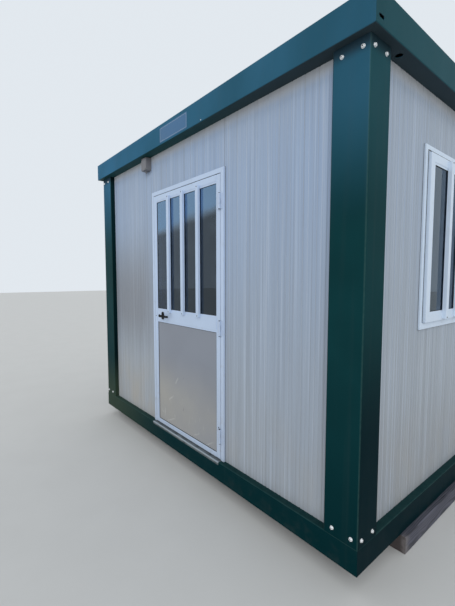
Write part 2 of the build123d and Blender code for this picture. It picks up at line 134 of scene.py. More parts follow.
class Signal:
    """A number in a material's nodes, on which Python's operators work."""

    def __init__(self, shader: "Shader", socket: bpy.types.NodeSocket) -> None:
        """Wraps a socket.

        Args:
            shader: The material's builder.
            socket: The output that carries the number.
        """
        self.shader = shader
        self.socket = socket

    def maths(self, operation: str, *others: "Signal | float") -> "Signal":
        """Adds one Math node.

        Args:
            operation: The node's operation.
            others: The operands after this one.

        Returns:
            The node's result.
        """
        return self.shader.maths(operation, self, *others)

    def __add__(self, other: "Signal | float") -> "Signal":
        """Adds a signal or a number."""
        return self.maths("ADD", other)

    def __sub__(self, other: "Signal | float") -> "Signal":
        """Subtracts a signal or a number."""
        return self.maths("SUBTRACT", other)

    def __rsub__(self, other: float) -> "Signal":
        """Subtracts this signal from a number."""
        return self.shader.maths("SUBTRACT", other, self)

    def __mul__(self, other: "Signal | float") -> "Signal":
        """Multiplies by a signal or a number."""
        return self.maths("MULTIPLY", other)

    def __abs__(self) -> "Signal":
        """Drops the sign."""
        return self.maths("ABSOLUTE")

    __radd__ = __add__
    __rmul__ = __mul__

    def step(self, start: float, end: float) -> "Signal":
        """Rises smoothly from 0 at start to 1 at end, or falls if end is the lower one.

        Args:
            start: The value that gives 0.
            end: The value that gives 1.

        Returns:
            The smooth step.
        """
        node = self.shader.node("ShaderNodeMapRange", {"interpolation_type": "SMOOTHSTEP"},
                                {0: self, 1: start, 2: end, 3: 0.0, 4: 1.0})
        return Signal(self.shader, node.outputs[0])


Value = Signal | bpy.types.NodeSocket | float | tuple


class Shader:
    """Builds the nodes of one material."""

    def __init__(self, name: str) -> None:
        """Starts a material.

        Args:
            name: The material's name.
        """
        self.material = bpy.data.materials.new(name)
        self.material.use_nodes = True
        self.tree = self.material.node_tree
        self.surface = self.tree.nodes["Principled BSDF"]
        self.output = self.tree.nodes["Material Output"]
        self.place = self.node("ShaderNodeTexCoord").outputs["Object"]
        self.x, self.y, self.z = self.split(self.place)

    def node(self, kind: str, settings: dict[str, object] | None = None,
             sockets: dict[int | str, Value] | None = None) -> bpy.types.Node:
        """Adds a node, sets it and then fills its sockets.

        Args:
            kind: The node's type.
            settings: The node's own settings.
            sockets: Values or links, by the input's place or name.

        Returns:
            The node.
        """
        node = self.tree.nodes.new(kind)
        for key, value in (settings or {}).items():
            setattr(node, key, value)
        for key, value in (sockets or {}).items():
            self.fill(node.inputs[key], value)
        return node

    def fill(self, socket: bpy.types.NodeSocket, value: Value) -> None:
        """Links or sets one input.

        Args:
            socket: The input.
            value: What goes into it.
        """
        if isinstance(value, Signal):
            value = value.socket
        if isinstance(value, bpy.types.NodeSocket):
            self.tree.links.new(value, socket)
        elif isinstance(value, tuple) and socket.type == "RGBA":
            socket.default_value = (*value, 1.0)
        else:
            socket.default_value = value

    def maths(self, operation: str, *values: "Signal | float") -> Signal:
        """Adds a Math node on signals or numbers and gives its result."""
        node = self.node("ShaderNodeMath", {"operation": operation}, dict(enumerate(values)))
        return Signal(self, node.outputs[0])

    def split(self, vector: bpy.types.NodeSocket) -> list[Signal]:
        """Splits a vector into its three numbers."""
        parts = self.node("ShaderNodeSeparateXYZ", sockets={0: vector}).outputs
        return [Signal(self, part) for part in parts]

    def facing(self) -> list[Signal]:
        """Gives how far the surface looks towards +X, +Y and +Z."""
        return self.split(self.node("ShaderNodeNewGeometry").outputs["Normal"])

    def front(self) -> Signal:
        """Gives 1 on the pieces of the front and 0 on the other sides."""
        return self.y.step(*FRONT_ZONE)

    def noise(self, scale: float, detail: float = 3.0, stretch: Point = (1, 1, 1),
              shift: float = 0.0) -> Signal:
        """Gives a noise pattern fixed to the piece.

        Args:
            scale: How fine it is, in patches a metre.
            detail: How many finer layers it has.
            stretch: Its scale along each axis.
            shift: Moves the pattern, so that two of one scale differ.

        Returns:
            The pattern, about 0.5.
        """
        mapped = self.node("ShaderNodeMapping", sockets={
            "Vector": self.place, "Scale": stretch, "Location": (shift, shift, shift)}).outputs[0]
        node = self.node("ShaderNodeTexNoise",
                         sockets={"Vector": mapped, "Scale": scale, "Detail": detail})
        return Signal(self, node.outputs[0])

    def blend(self, amount: Signal | float, first: Value, second: Value) -> bpy.types.NodeSocket:
        """Mixes two colours by an amount and gives the result."""
        node = self.node("ShaderNodeMix", {"data_type": "RGBA"}, {0: amount, 6: first, 7: second})
        return node.outputs[2]

    def relief(self, height: Signal, depth: float) -> bpy.types.NodeSocket:
        """Gives the normal of a surface that rises by a depth where the height is 1."""
        return self.node("ShaderNodeBump", sockets={"Height": height, "Distance": depth}).outputs[0]

    def dress(self, **values: Value) -> None:
        """Fills the surface's inputs, whose names are given with _ for each space."""
        for key, value in values.items():
            self.fill(self.surface.inputs[key.replace("_", " ")], value)


@dataclass(frozen=True)
class Finish:
    """A finish: one colour with soft clouds in it, and a fine grain."""

    name: str
    colour: Colour
    roughness: float = 0.4
    metallic: float = 0.0
    shade: float = 0.12
    grain: float = 0.0002

    def material(self) -> bpy.types.Material:
        """Gives the finish's material, made the first time it is asked for.

        Returns:
            The material.
        """
        made = bpy.data.materials.get(self.name)
        if made is None:
            shader = Shader(self.name)
            self.paint(shader)
            made = shader.material
        return made

    def darker(self, share: float) -> Colour:
        """Gives the finish's colour at a share of its strength."""
        return tuple(part * share for part in self.colour)

    def clouds(self, shader: Shader) -> bpy.types.NodeSocket:
        """Gives the finish's colour, a little darker in soft patches."""
        patches = shader.noise(3.0, 4.0).step(0.3, 0.7)
        return shader.blend(patches, self.darker(1 - self.shade), self.colour)

    def wandering(self, shader: Shader, scale: float, detail: float, spread: float) -> Signal:
        """Gives a roughness that wanders over a spread, with the finish's own in its middle."""
        return shader.noise(scale, detail) * spread + (self.roughness - spread / 2)

    def grained(self, shader: Shader, scale: float) -> bpy.types.NodeSocket:
        """Gives the normal of a fine, even grain."""
        return shader.relief(shader.noise(scale, 2.0), self.grain)

    def paint(self, shader: Shader) -> None:
        """Sets the surface's nodes.

        Args:
            shader: The material's builder.
        """
        shader.dress(Base_Color=self.clouds(shader), Metallic=self.metallic,
                     Roughness=self.wandering(shader, 9.0, 4.0, 0.12),
                     Normal=self.grained(shader, 420.0))


@dataclass(frozen=True)
class FramePaint(Finish):
    """Deep green paint on steel, dusty at its foot, with painted light and shade: a sky reflection
    towards the roof, highlights along its bends and tops, and shade at its foot, on its folds and under
    the roof.

    Its painted sky reflection rises between two levels. A share says how strongly its tone covers what
    lies under it.
    """

    # Painted shade at the foot, darker on the ends.
    foot_shade: Colour = (0.0008, 0.0215, 0.0260)
    end_foot_shade: Colour = (0.0000, 0.0120, 0.0165)
    # Painted sky reflection high up: brighter towards the left on the fronts, and greener on the ends.
    sky_reflection: Colour = (0.0330, 0.1270, 0.2080)
    bright_sky_reflection: Colour = (0.0300, 0.1550, 0.2900)
    end_sky_reflection: Colour = (0.0150, 0.0730, 0.0920)
    # Painted shade on the soffits, greener towards the left.
    soffit_shade: Colour = (0.0380, 0.0520, 0.0580)
    far_soffit_shade: Colour = (0.0160, 0.0580, 0.0540)
    # Painted shade on the posts' folds that face along the wall.
    inner: Colour = (0.0010, 0.0090, 0.0110)
    # Painted shadow in a band under the soffits.
    eaves_shadow: Colour = (0.0180, 0.0300, 0.0400)
    # Painted reflection of the ground, low on the left.
    ground_reflection: Colour = (0.0420, 0.0640, 0.0400)
    # Painted highlight on bends and tops, with some wear.
    wear_and_highlight: Colour = (0.0600, 0.1150, 0.1050)
    dust: Colour = (0.075, 0.080, 0.078)
    # The levels between which the painted sky reflection rises.
    reflection_from: float = 1.75
    reflection_to: float = 2.72
    bright_reflection_share: float = 0.7
    # How strongly the painted shade under the roof shows.
    roof_shade_share: float = 0.8
    soffit_shade_share: float = 0.85
    ground_reflection_share: float = 0.7
    run_share: float = 0.06
    # How strongly the painted highlights on bends and on upward edges show.
    bend_highlight_share: float = 0.32
    edge_share: float = 0.30
    splash_share: float = 0.14
    scuff_share: float = 0.20
    shine: float = 0.02

    def weathered(self, shader: Shader, end_face: Signal) -> bpy.types.NodeSocket:
        """Gives the paint's colour, with painted shade at its foot and a painted sky reflection towards
        the roof.

        Args:
            shader: The material's builder.
            end_face: 1 on what looks towards an end of the cabin, and 0 elsewhere.

        Returns:
            The colour.
        """
        # Painted shade at the foot, which on the ends reaches up to about 1.5 m.
        foot = shader.blend(end_face, self.foot_shade, self.end_foot_shade)
        lit = shader.z.step(0.05, 1.3) * (1 - end_face * shader.z.step(1.5, 0.7))
        base = shader.blend(lit, foot, self.clouds(shader))
        # Painted sky reflection: it rises towards the roof in patches, brightens towards the left on the
        # fronts and turns greener on the ends.
        patches = shader.noise(2.2, 4.0, (1, 1, 0.6)).step(0.2, 0.8)
        high = shader.z.step(self.reflection_from, self.reflection_to) * (patches * 0.40 + 0.64)
        far = shader.x.step(0.9, -1.7) * self.bright_reflection_share
        front_sky_reflection = shader.blend(far, self.sky_reflection, self.bright_sky_reflection)
        return shader.blend(high, base, shader.blend(end_face, front_sky_reflection, self.end_sky_reflection))

    def roof_shade(self, shader: Shader, open_colour: bpy.types.NodeSocket, east: Signal,
                   upward: Signal) -> bpy.types.NodeSocket:
        """Paints shade on the soffits, on the posts' folds and in a band right under the soffits.

        Args:
            shader: The material's builder.
            open_colour: The colour elsewhere.
            east: How far the surface looks towards +X.
            upward: How far it looks up.

        Returns:
            The colour.
        """
        # Painted shadow in a band under the soffits, painted shade on the folds that face along the wall,
        # and painted shade on the soffits.
        band = shader.z.step(SOFFIT - 0.085, SOFFIT - 0.02)
        eaves_shadow = band * shader.z.step(SOFFIT + 0.0004, SOFFIT - 0.0004) * self.roof_shade_share
        folds = (east * shader.x).step(-0.5, -1.0)
        inside = folds * shader.z.step(SOFFIT + 0.0002, SOFFIT - 0.0002) * self.roof_shade_share
        upright = shader.blend(inside, shader.blend(eaves_shadow, open_colour, self.eaves_shadow), self.inner)
        below = upward.step(-0.5, -0.9) * shader.z.step(2.5, 2.6)
        under = shader.blend(shader.x.step(1.2, -0.3), self.soffit_shade, self.far_soffit_shade)
        return shader.blend(below * self.soffit_shade_share, upright, under)

    def paint(self, shader: Shader) -> None:
        """Sets the surface's nodes.

        Args:
            shader: The material's builder.
        """
        east, north, upward = shader.facing()
        own = self.weathered(shader, abs(east).step(*END_FACE))
        roof_shaded = self.roof_shade(shader, own, east, upward)
        # Painted reflection of the ground, low on the left.
        ground_lit = shader.x.step(-0.2, -1.5) * shader.z.step(0.75, 0.25) * self.ground_reflection_share
        runs = shader.noise(26.0, 4.0, (1, 1, 0.03)).step(0.52, 0.78)
        ground_reflected = shader.blend(ground_lit, roof_shaded, self.ground_reflection)
        window_light = shader.blend(runs * self.run_share, ground_reflected, self.dust)
        # Painted highlights on bends and on upward edges, with some wear; flat tops get a painted
        # highlight in their colour and dust in their roughness.
        rubbed = shader.noise(40.0, 4.0).step(0.25, 0.70)
        upper = upward.step(0.25, 0.55) * upward.step(0.99, 0.90)
        folded = (abs(east) * abs(north)).step(0.22, 0.48)
        bend_highlights = folded * self.bend_highlight_share + upper * self.edge_share
        dust_and_light = upward.step(0.93, 0.99) * (rubbed * 0.10 + 0.10)
        marked = shader.blend(bend_highlights * (rubbed * 0.5 + 0.5) + dust_and_light, window_light, self.wear_and_highlight)
        low = shader.z.step(0.30, 0.10)
        splash = low * shader.noise(18.0, 6.0).step(0.48, 0.76)
        scuffs = shader.noise(70.0, 3.0, (0.3, 0.3, 1), 4.0).step(0.71, 0.79) * low
        dirt = splash * self.splash_share + scuffs * self.scuff_share
        rough = self.wandering(shader, 7.0, 3.0, 0.14) + splash * 0.2 + dust_and_light * 0.4
        shader.dress(Base_Color=shader.blend(dirt, marked, self.dust), Roughness=rough,
                     Specular_IOR_Level=self.shine, Normal=self.grained(shader, 260.0))


@dataclass(frozen=True)
class PanelSkin(Finish):
    """A panel's painted steel skin: fine lines of painted highlight and shade, rain streaks, painted sky
    light and a painted dark reflection, painted light under the roof, dusty low down.

    Its dust is thickest at the foot and ends at dust_top, with painted ground reflection on the front's
    left, and its painted light lies in a band under the soffits.
    """

    # Painted sky light that rises up the wall, with a shaded copy on the ends.
    sky_light: Colour = (0.305, 0.410, 0.590)
    shaded: Colour = (0.315, 0.380, 0.475)
    # Painted dark reflection on the front's left at mid height; on the ends the skin also turns greyer
    # towards the foot.
    film_and_reflection: Colour = (0.205, 0.210, 0.225)
    # Painted reflection of the ground, on the dust at the foot of the front's left.
    ground_reflection: Colour = (0.400, 0.372, 0.325)
    # Painted highlight along the ribs' fine lines.
    bright: Colour = (0.490, 0.565, 0.680)
    dust: Colour = (0.345, 0.330, 0.300)
    # Painted shade along the ribs' fine lines.
    dark_tone: Colour = (0.165, 0.178, 0.205)
    rain: Colour = (0.280, 0.300, 0.330)
    # Painted light in a band under the soffits, against their shade.
    top_light: Colour = (0.620, 0.625, 0.635)
    foot: float = 0.24
    dust_top: float = 0.95
    top_light_band: float = 0.09
    film_and_reflection_share: float = 0.74
    end_foot_share: float = 0.38
    line_shade_share: float = 0.21
    line_highlight_share: float = 0.38
    rain_share: float = 0.16
    shine: float = 0.40

    def lined(self, shader: Shader, base: bpy.types.NodeSocket, plain: Signal) -> bpy.types.NodeSocket:
        """Draws the skin's fine upright lines, as painted highlights and painted shade along its ribs.

        Args:
            shader: The material's builder.
            base: The colour under them.
            plain: How plainly they show.

        Returns:
            The colour with the lines.
        """
        lines = shader.noise(95.0, 3.0, (1, 1, 0.006), 3.0)
        dark = shader.blend(lines.step(0.48, 0.34) * plain * self.line_shade_share, base, self.dark_tone)
        return shader.blend(lines.step(0.54, 0.66) * plain * self.line_highlight_share, dark, self.bright)

    def paint(self, shader: Shader) -> None:
        """Sets the surface's nodes.

        Args:
            shader: The material's builder.
        """
        east, _, _ = shader.facing()
        wide = shader.noise(1.1, 2.0, (1, 1, 0.5)).step(0.25, 0.75)
        # Painted sky light rising up the wall, with its shaded copy on the ends.
        upper = shader.blend(abs(east).step(*END_FACE), self.sky_light, self.shaded)
        clean = shader.blend(wide * 0.30 + shader.z.step(0.6, 2.4) * 0.65, self.colour, upper)
        # Painted dark reflection on the front's left at mid height, which also dims the lines there; on
        # the ends the skin turns greyer towards the foot.
        left = shader.x.step(-0.30, -0.80) * shader.front()
        dark_reflection = shader.z.step(0.65, 1.25) * shader.z.step(2.2, 1.4) * left
        end_foot = abs(east) * shader.z.step(1.1, 0.35)
        film_and_reflection = dark_reflection * self.film_and_reflection_share + end_foot * self.end_foot_share
        lined = self.lined(shader, shader.blend(film_and_reflection, clean, self.film_and_reflection), 1 - dark_reflection * 0.55)
        streaks = shader.noise(34.0, 4.0, (1, 1, 0.02)).step(0.50, 0.80)
        streaked = shader.blend(streaks * self.rain_share, lined, self.rain)
        patches = shader.noise(5.0, 5.0, (1, 1, 0.5)).step(0.2, 0.8)
        low = shader.z.step(self.dust_top, self.foot) * patches
        # Dust at the foot; on the front's left it turns to painted ground reflection and grows stronger.
        dust_and_light = shader.blend(left, self.dust, self.ground_reflection)
        dusty = shader.blend(low * (left * 0.35 + 0.50), streaked, dust_and_light)
        # Painted light in a band under the soffits.
        top_light_amount = shader.noise(8.0, 4.0).step(0.15, 0.7) * 0.2 + 0.68
        high = shader.z.step(SOFFIT - self.top_light_band, SOFFIT) * top_light_amount
        rough = self.wandering(shader, 5.0, 4.0, 0.12) + low * 0.18
        shader.dress(Base_Color=shader.blend(high, dusty, self.top_light), Roughness=rough,
                     Specular_IOR_Level=self.shine, Normal=self.grained(shader, 300.0))


@dataclass(frozen=True)
class Moulding(Finish):
    """Moulded plastic or rubber with a soft sheen and a fine, even grain."""

    shine: float = 0.12

    def paint(self, shader: Shader) -> None:
        """Sets the surface's nodes.

        Args:
            shader: The material's builder.
        """
        shader.dress(Base_Color=self.clouds(shader), Specular_IOR_Level=self.shine,
                     Roughness=self.wandering(shader, 16.0, 4.0, 0.14),
                     Normal=self.grained(shader, 520.0))


@dataclass(frozen=True)
class Enamel(Finish):
    """White enamel on aluminium profiles, soiled in patches and low down, with painted light that makes
    it paler on the window.
    """

    # Painted light on the window's enamel.
    window_light: Colour = (0.600, 0.700, 0.830)
    soil: Colour = (0.30, 0.29, 0.27)
    patch_share: float = 0.09
    low_share: float = 0.22

    def paint(self, shader: Shader) -> None:
        """Sets the surface's nodes.

        Args:
            shader: The material's builder.
        """
        # Painted light on the window's enamel.
        window = shader.x.step(1.30, 1.45)
        clean = shader.blend(window, self.clouds(shader), self.window_light)
        patches = shader.noise(22.0, 5.0).step(0.52, 0.78)
        low = shader.z.step(1.5, 0.25) * self.low_share
        soiled = shader.blend(patches * (low + self.patch_share) + low, clean, self.soil)
        drawn = shader.noise(500.0, 2.0, (1, 1, 0.01))
        shader.dress(Base_Color=soiled, Roughness=self.wandering(shader, 14.0, 3.0, 0.16),
                     Normal=shader.relief(drawn, self.grain))


@dataclass(frozen=True)
class Scuff:
    """A straight mark on the door's lower panel, from one point to another in its plane."""

    start: tuple[float, float]
    end: tuple[float, float]
    width: float
    strength: float

    def mask(self, shader: Shader) -> Signal:
        """Gives the mark's own strength over the surface.

        Args:
            shader: The panel's material.

        Returns:
            A signal that is up to the strength on the mark and 0 off it.
        """
        middle = [(a + b) / 2 for a, b in zip(self.start, self.end)]
        span = math.dist(self.start, self.end)
        along_x, along_z = ((b - a) / span for a, b in zip(self.start, self.end))
        across, up = shader.x - middle[0], shader.z - middle[1]
        along = abs(across * along_x + up * along_z)
        beside = abs(across * -along_z + up * along_x + (shader.noise(24.0, 3.0) - 0.5) * self.width)
        body = along.step(span / 2, span / 4) * beside.step(self.width, self.width * 0.15)
        return body * shader.noise(90.0, 3.0).step(0.3, 0.6) * self.strength


@dataclass(frozen=True)
class ScuffedPanel(Finish):
    """The plain skin of the door's lower half, with its scratches and dents, and a painted reflection of
    the ground that makes it lighter and warmer towards the bottom and the left.
    """

    light: Colour = (0.56, 0.56, 0.54)
    dark: Colour = (0.12, 0.12, 0.13)
    # The colour of the painted ground reflection at the bottom.
    dust: Colour = (0.375, 0.360, 0.325)
    scratches: tuple[Scuff, ...] = ()
    dents: tuple[Scuff, ...] = ()
    dust_share: float = 0.85
    fine_share: float = 0.25
    depth: float = 0.0012

    def paint(self, shader: Shader) -> None:
        """Sets the surface's nodes.

        Args:
            shader: The material's builder.
        """
        # Painted reflection of the ground: lighter and warmer towards the bottom and the left.
        left = shader.x.step(0.55, -0.35) * 0.45 + 0.55
        low = shader.z.step(0.95, 0.50) * left * (shader.noise(4.0, 4.0).step(0.2, 0.8) * 0.35 + 0.65)
        dusty = shader.blend(low * self.dust_share, self.clouds(shader), self.dust)
        fine = shader.noise(60.0, 4.0, (1, 1, 0.25)).step(0.62, 0.74) * shader.z.step(0.75, 0.35)
        ground = shader.blend(fine * self.fine_share, dusty, self.light)
        light = sum((mark.mask(shader) for mark in self.scratches), start=fine * 0.0)
        dark = sum((mark.mask(shader) for mark in self.dents), start=fine * 0.0)
        marked = shader.blend(dark, shader.blend(light, ground, self.light), self.dark)
        height = shader.noise(9.0, 2.0) * 0.6 - light * 0.3 - dark * 0.6
        rough = shader.noise(12.0, 4.0) * 0.16 + light * 0.2 + (self.roughness - 0.10)
        shader.dress(Base_Color=marked, Roughness=rough, Normal=shader.relief(height, self.depth))


@dataclass(frozen=True)
class Pane(Finish):
    """A double-glazed pane: it mirrors by its angle, lets the rest through, and has a painted sky
    reflection high up on the front.
    """

    tint: Colour = (0.42, 0.50, 0.60)
    # Painted sky reflection high up on the front.
    upper: Colour = (0.42, 0.68, 1.0)
    refraction: float = 1.52
    mirror_gain: float = 1.25
    film_and_reflection_share: float = 0.03
    sky_reflection_share: float = 0.30
    least_share: float = 0.01

    def paint(self, shader: Shader) -> None:
        """Sets the surface's nodes.

        Args:
            shader: The material's builder.
        """
        film_and_reflection = shader.noise(6.0, 5.0).step(0.45, 0.85)
        fresnel = shader.node("ShaderNodeFresnel", sockets={"IOR": self.refraction})
        mirror = Signal(shader, fresnel.outputs[0]) * self.mirror_gain
        # Painted sky reflection, high up on the front.
        level = shader.z - shader.x * 0.12 + shader.noise(2.5, 2.0) * 0.12
        high = level.step(2.01, 2.11) * shader.front()
        share = mirror + film_and_reflection * self.film_and_reflection_share + high * self.sky_reflection_share + self.least_share
        shader.dress(Base_Color=shader.blend(high, self.colour, self.upper), Metallic=1.0,
                     Roughness=film_and_reflection * 0.05 + self.roughness)
        clear = shader.node("ShaderNodeBsdfTransparent", sockets={"Color": self.tint})
        mixed = shader.node("ShaderNodeMixShader", sockets={
            0: share.maths("MINIMUM", 1.0), 1: clear.outputs[0], 2: shader.surface.outputs[0]})
        shader.fill(shader.output.inputs["Surface"], mixed.outputs[0])


@dataclass(frozen=True)
class Timber(Finish):
    """Old sawn softwood with its grain along Y, checks along the grain, and rings on its ends, which are
    dark with end grain and painted shade.

    Its ends are splintered from the outer X on, and its rings lie round the pith's X and Z.
    """

    dark: Colour = (0.030, 0.031, 0.041)
    fresh: Colour = (0.180, 0.165, 0.165)
    # End grain, darkened with painted shade.
    end: Colour = (0.050, 0.036, 0.030)
    dust: Colour = (0.15, 0.15, 0.18)
    crack: Colour = (0.012, 0.010, 0.010)
    outer: float = 1.57
    pith: tuple[float, float] = (1.52, 0.012)
    ring_scale: float = 900.0
    dust_share: float = 0.30
    end_grain_and_shade_share: float = 0.8
    splinter_share: float = 0.75
    crack_share: float = 0.85
    depth: float = 0.004

    def paint(self, shader: Shader) -> None:
        """Sets the surface's nodes.

        Args:
            shader: The material's builder.
        """
        _, north, _ = shader.facing()
        wander = shader.noise(3.0, 2.0)
        across = abs(shader.x) - self.pith[0] + wander * 0.02
        up = shader.z - self.pith[1]
        distance = (across * across + up * up).maths("SQRT")
        rings = (distance * self.ring_scale + wander * 6.0).maths("SINE") * 0.5 + 0.5
        fibres = shader.noise(160.0, 5.0, (1, 0.03, 1))
        grain = rings * 0.45 + fibres * 0.75
        weathered = shader.blend(grain.step(0.35, 0.95), self.colour, self.dark)
        dusty = shader.noise(5.0, 4.0).step(0.45, 0.8) * self.dust_share
        # The sawn ends: end grain, darkened with painted shade.
        end_grain_and_shade = abs(north).step(0.6, 0.9) * self.end_grain_and_shade_share
        patchy = shader.blend(end_grain_and_shade, shader.blend(dusty, weathered, self.dust), self.end)
        splinters = shader.noise(30.0, 4.0, (1, 0.3, 1), 2.0).step(0.30, 0.65)
        edge = abs(shader.x).step(self.outer, self.outer + 0.025)
        broken = abs(shader.y).step(0.670, 0.735) * splinters * edge
        splintered = shader.blend(broken * self.splinter_share, patchy, self.fresh)
        checks = shader.noise(46.0, 3.0, (1, 0.025, 1), 7.0).step(0.66, 0.72)
        cracked = shader.blend(checks * self.crack_share, splintered, self.crack)
        shader.dress(Base_Color=cracked, Roughness=fibres * 0.2 + (self.roughness - 0.12),
                     Normal=shader.relief(grain * 0.5 - checks, self.depth))


@dataclass(frozen=True)
class TroddenMetal(Finish):
    """Bare aluminium with dirt trodden into it, rubbed bright along its outer edge.

    The edge is given by its Y, and the bright part lies above the rubbed level.
    """

    dirt: Colour = (0.040, 0.055, 0.060)
    dark: Colour = (0.018, 0.024, 0.026)
    edge: float = -1.1965
    rubbed: float = 0.235
    shine: float = 0.2

    def paint(self, shader: Shader) -> None:
        """Sets the surface's nodes.

        Args:
            shader: The material's builder.
        """
        outer = shader.y.step(self.edge + 0.002, self.edge)
        bright = outer * shader.z.step(self.rubbed - 0.004, self.rubbed + 0.002)
        inner = shader.y.step(self.edge + 0.010, self.edge + 0.018)
        patches = shader.noise(24.0, 5.0).step(0.35, 0.80)
        dark_tone = shader.blend(inner, self.dirt, self.dark)
        trodden = shader.blend(patches * 0.20 + 0.76, self.clouds(shader), dark_tone)
        drawn = shader.noise(300.0, 3.0, (0.02, 1, 1))
        shader.dress(Base_Color=shader.blend(bright, trodden, self.colour),
                     Metallic=bright * 0.6 + 0.1, Specular_IOR_Level=self.shine,
                     Roughness=patches * 0.2 + (self.roughness - 0.05),
                     Normal=shader.relief(drawn, self.grain))


@dataclass(frozen=True)
class Board(Finish):
    """A bonded wood board, with long flakes and darker scuffs."""

    darkened: float = 0.62

    def paint(self, shader: Shader) -> None:
        """Sets the surface's nodes.

        Args:
            shader: The material's builder.
        """
        flakes = shader.noise(38.0, 5.0, (0.35, 1, 1)).step(0.35, 0.7)
        dark = self.darker(self.darkened)
        scuffs = shader.noise(2.5, 4.0).step(0.5, 0.8) * 0.4
        wear_and_highlight = shader.blend(scuffs, shader.blend(flakes, dark, self.colour), dark)
        shader.dress(Base_Color=wear_and_highlight, Roughness=self.wandering(shader, 9.0, 3.0, 0.2),
                     Normal=shader.relief(flakes, self.grain))


@dataclass(frozen=True)
class Zinc(Finish):
    """Bare zinc, in large soft spangles."""

    dulled: float = 0.72

    def paint(self, shader: Shader) -> None:
        """Sets the surface's nodes.

        Args:
            shader: The material's builder.
        """
        cells = shader.node("ShaderNodeTexVoronoi", sockets={"Vector": shader.place, "Scale": 34.0})
        bright = Signal(shader, cells.outputs["Distance"]).step(0.1, 0.8)
        spangled = shader.blend(bright, self.colour, self.darker(self.dulled))
        shader.dress(Base_Color=spangled, Metallic=self.metallic,
                     Roughness=bright * 0.18 + (self.roughness - 0.08),
                     Normal=self.grained(shader, 240.0))


GREEN = FramePaint("Deep_green_paint", (0.0050, 0.0425, 0.0480), 0.42, shade=0.16, grain=0.0002)
SKIN = PanelSkin("Panel_skin", (0.340, 0.370, 0.400), 0.44, grain=0.0001)
WHITE = Enamel("White_enamel", (0.515, 0.630, 0.820), 0.38, shade=0.05, grain=0.0001)
PANE = Pane("Clear_pane", (0.70, 0.85, 1.0), 0.02)
LOWER_SKIN = ScuffedPanel(
    "Scuffed_door_skin", (0.240, 0.262, 0.310), 0.40, shade=0.08,
    scratches=(
        Scuff((-0.156, 0.653), (-0.103, 0.727), 0.010, 0.55),
        Scuff((-0.270, 0.487), (-0.170, 0.553), 0.011, 0.50),
        Scuff((-0.336, 0.333), (-0.323, 0.407), 0.012, 0.55),
        Scuff((-0.303, 0.293), (-0.143, 0.360), 0.008, 0.50),
        Scuff((0.117, 0.300), (0.210, 0.347), 0.006, 0.55),
        Scuff((0.290, 0.285), (0.384, 0.340), 0.007, 0.50),
        Scuff((-0.390, 0.380), (-0.350, 0.350), 0.010, 0.45),
    ),
    dents=(
        Scuff((-0.026, 0.453), (-0.022, 0.493), 0.011, 0.45),
        Scuff((-0.025, 0.722), (-0.021, 0.744), 0.009, 0.40),
    ),
)
HINGE_WHITE = Enamel("Hinge_enamel", (0.495, 0.600, 0.780), 0.36, shade=0.08, grain=0.0001)
BLACK = Moulding("Black_plastic", (0.0035, 0.0040, 0.0048), 0.50, shade=0.3, grain=0.0002)
DARK_CAP = Moulding("Dark_cap", (0.060, 0.066, 0.074), 0.50, shade=0.3, grain=0.0002)
BARE = TroddenMetal("Bare_aluminium", (0.48, 0.54, 0.58), 0.42, shade=0.25, grain=0.0002)
BOX = Moulding("Weathered_plastic", (0.198, 0.200, 0.216), 0.55, shade=0.25, grain=0.0004, shine=0.35)
TIMBER = Timber("Old_timber", (0.078, 0.080, 0.110), 0.8)
BOARD = Board("Floor_board", (0.23, 0.16, 0.10), 0.6, grain=0.0003)
CEILING = Finish("Ceiling_board", (0.62, 0.63, 0.62), 0.6, shade=0.06, grain=0.0002)
GALVANISED = Zinc("Galvanised_steel", (0.44, 0.47, 0.49), 0.50, metallic=0.7, grain=0.0002)
BOLT_ZINC = Finish("Zinc_bolt", (0.90, 0.92, 0.94), 0.30, metallic=0.35, shade=0.15, grain=0.0002)
SCREW = Finish("Dull_screw", (0.050, 0.052, 0.056), 0.45, metallic=0.5, shade=0.3, grain=0.0002)
RUBBER = Moulding("Black_seal", (0.014, 0.015, 0.017), 0.62, shade=0.3, grain=0.0003)
# A grey strip on the window's casing, as a painted shadow line round the sash.
SHADOW_LINE = Moulding("Grey_shadow_line", (0.050, 0.056, 0.068), 0.60, shade=0.3, grain=0.0003)
# Grey sealant, dark enough to stand also as painted shadow along the casings.
SEALANT_AND_SHADOW = Finish("Grey_sealant_and_shadow", (0.150, 0.168, 0.205), 0.55, shade=0.2, grain=0.0004)
PLATE = Finish("Plate_paint", (0.022, 0.122, 0.270), 0.36, shade=0.12, grain=0.0001)
PLATE_LINE = Finish("Plate_line", (0.30, 0.38, 0.48), 0.40, shade=0.1, grain=0.0001)

FINISHES = {
    Slot.FRAME: GREEN, Slot.PANEL: SKIN, Slot.ALUMINIUM: WHITE, Slot.GLASS: PANE,
    Slot.DOOR_PANEL: LOWER_SKIN, Slot.HINGE: HINGE_WHITE, Slot.HANDLE: BLACK, Slot.THRESHOLD: BARE,
    Slot.BOX: BOX, Slot.TIMBER: TIMBER, Slot.FLOOR: BOARD, Slot.CEILING: CEILING,
    Slot.GALVANISED: GALVANISED,
}


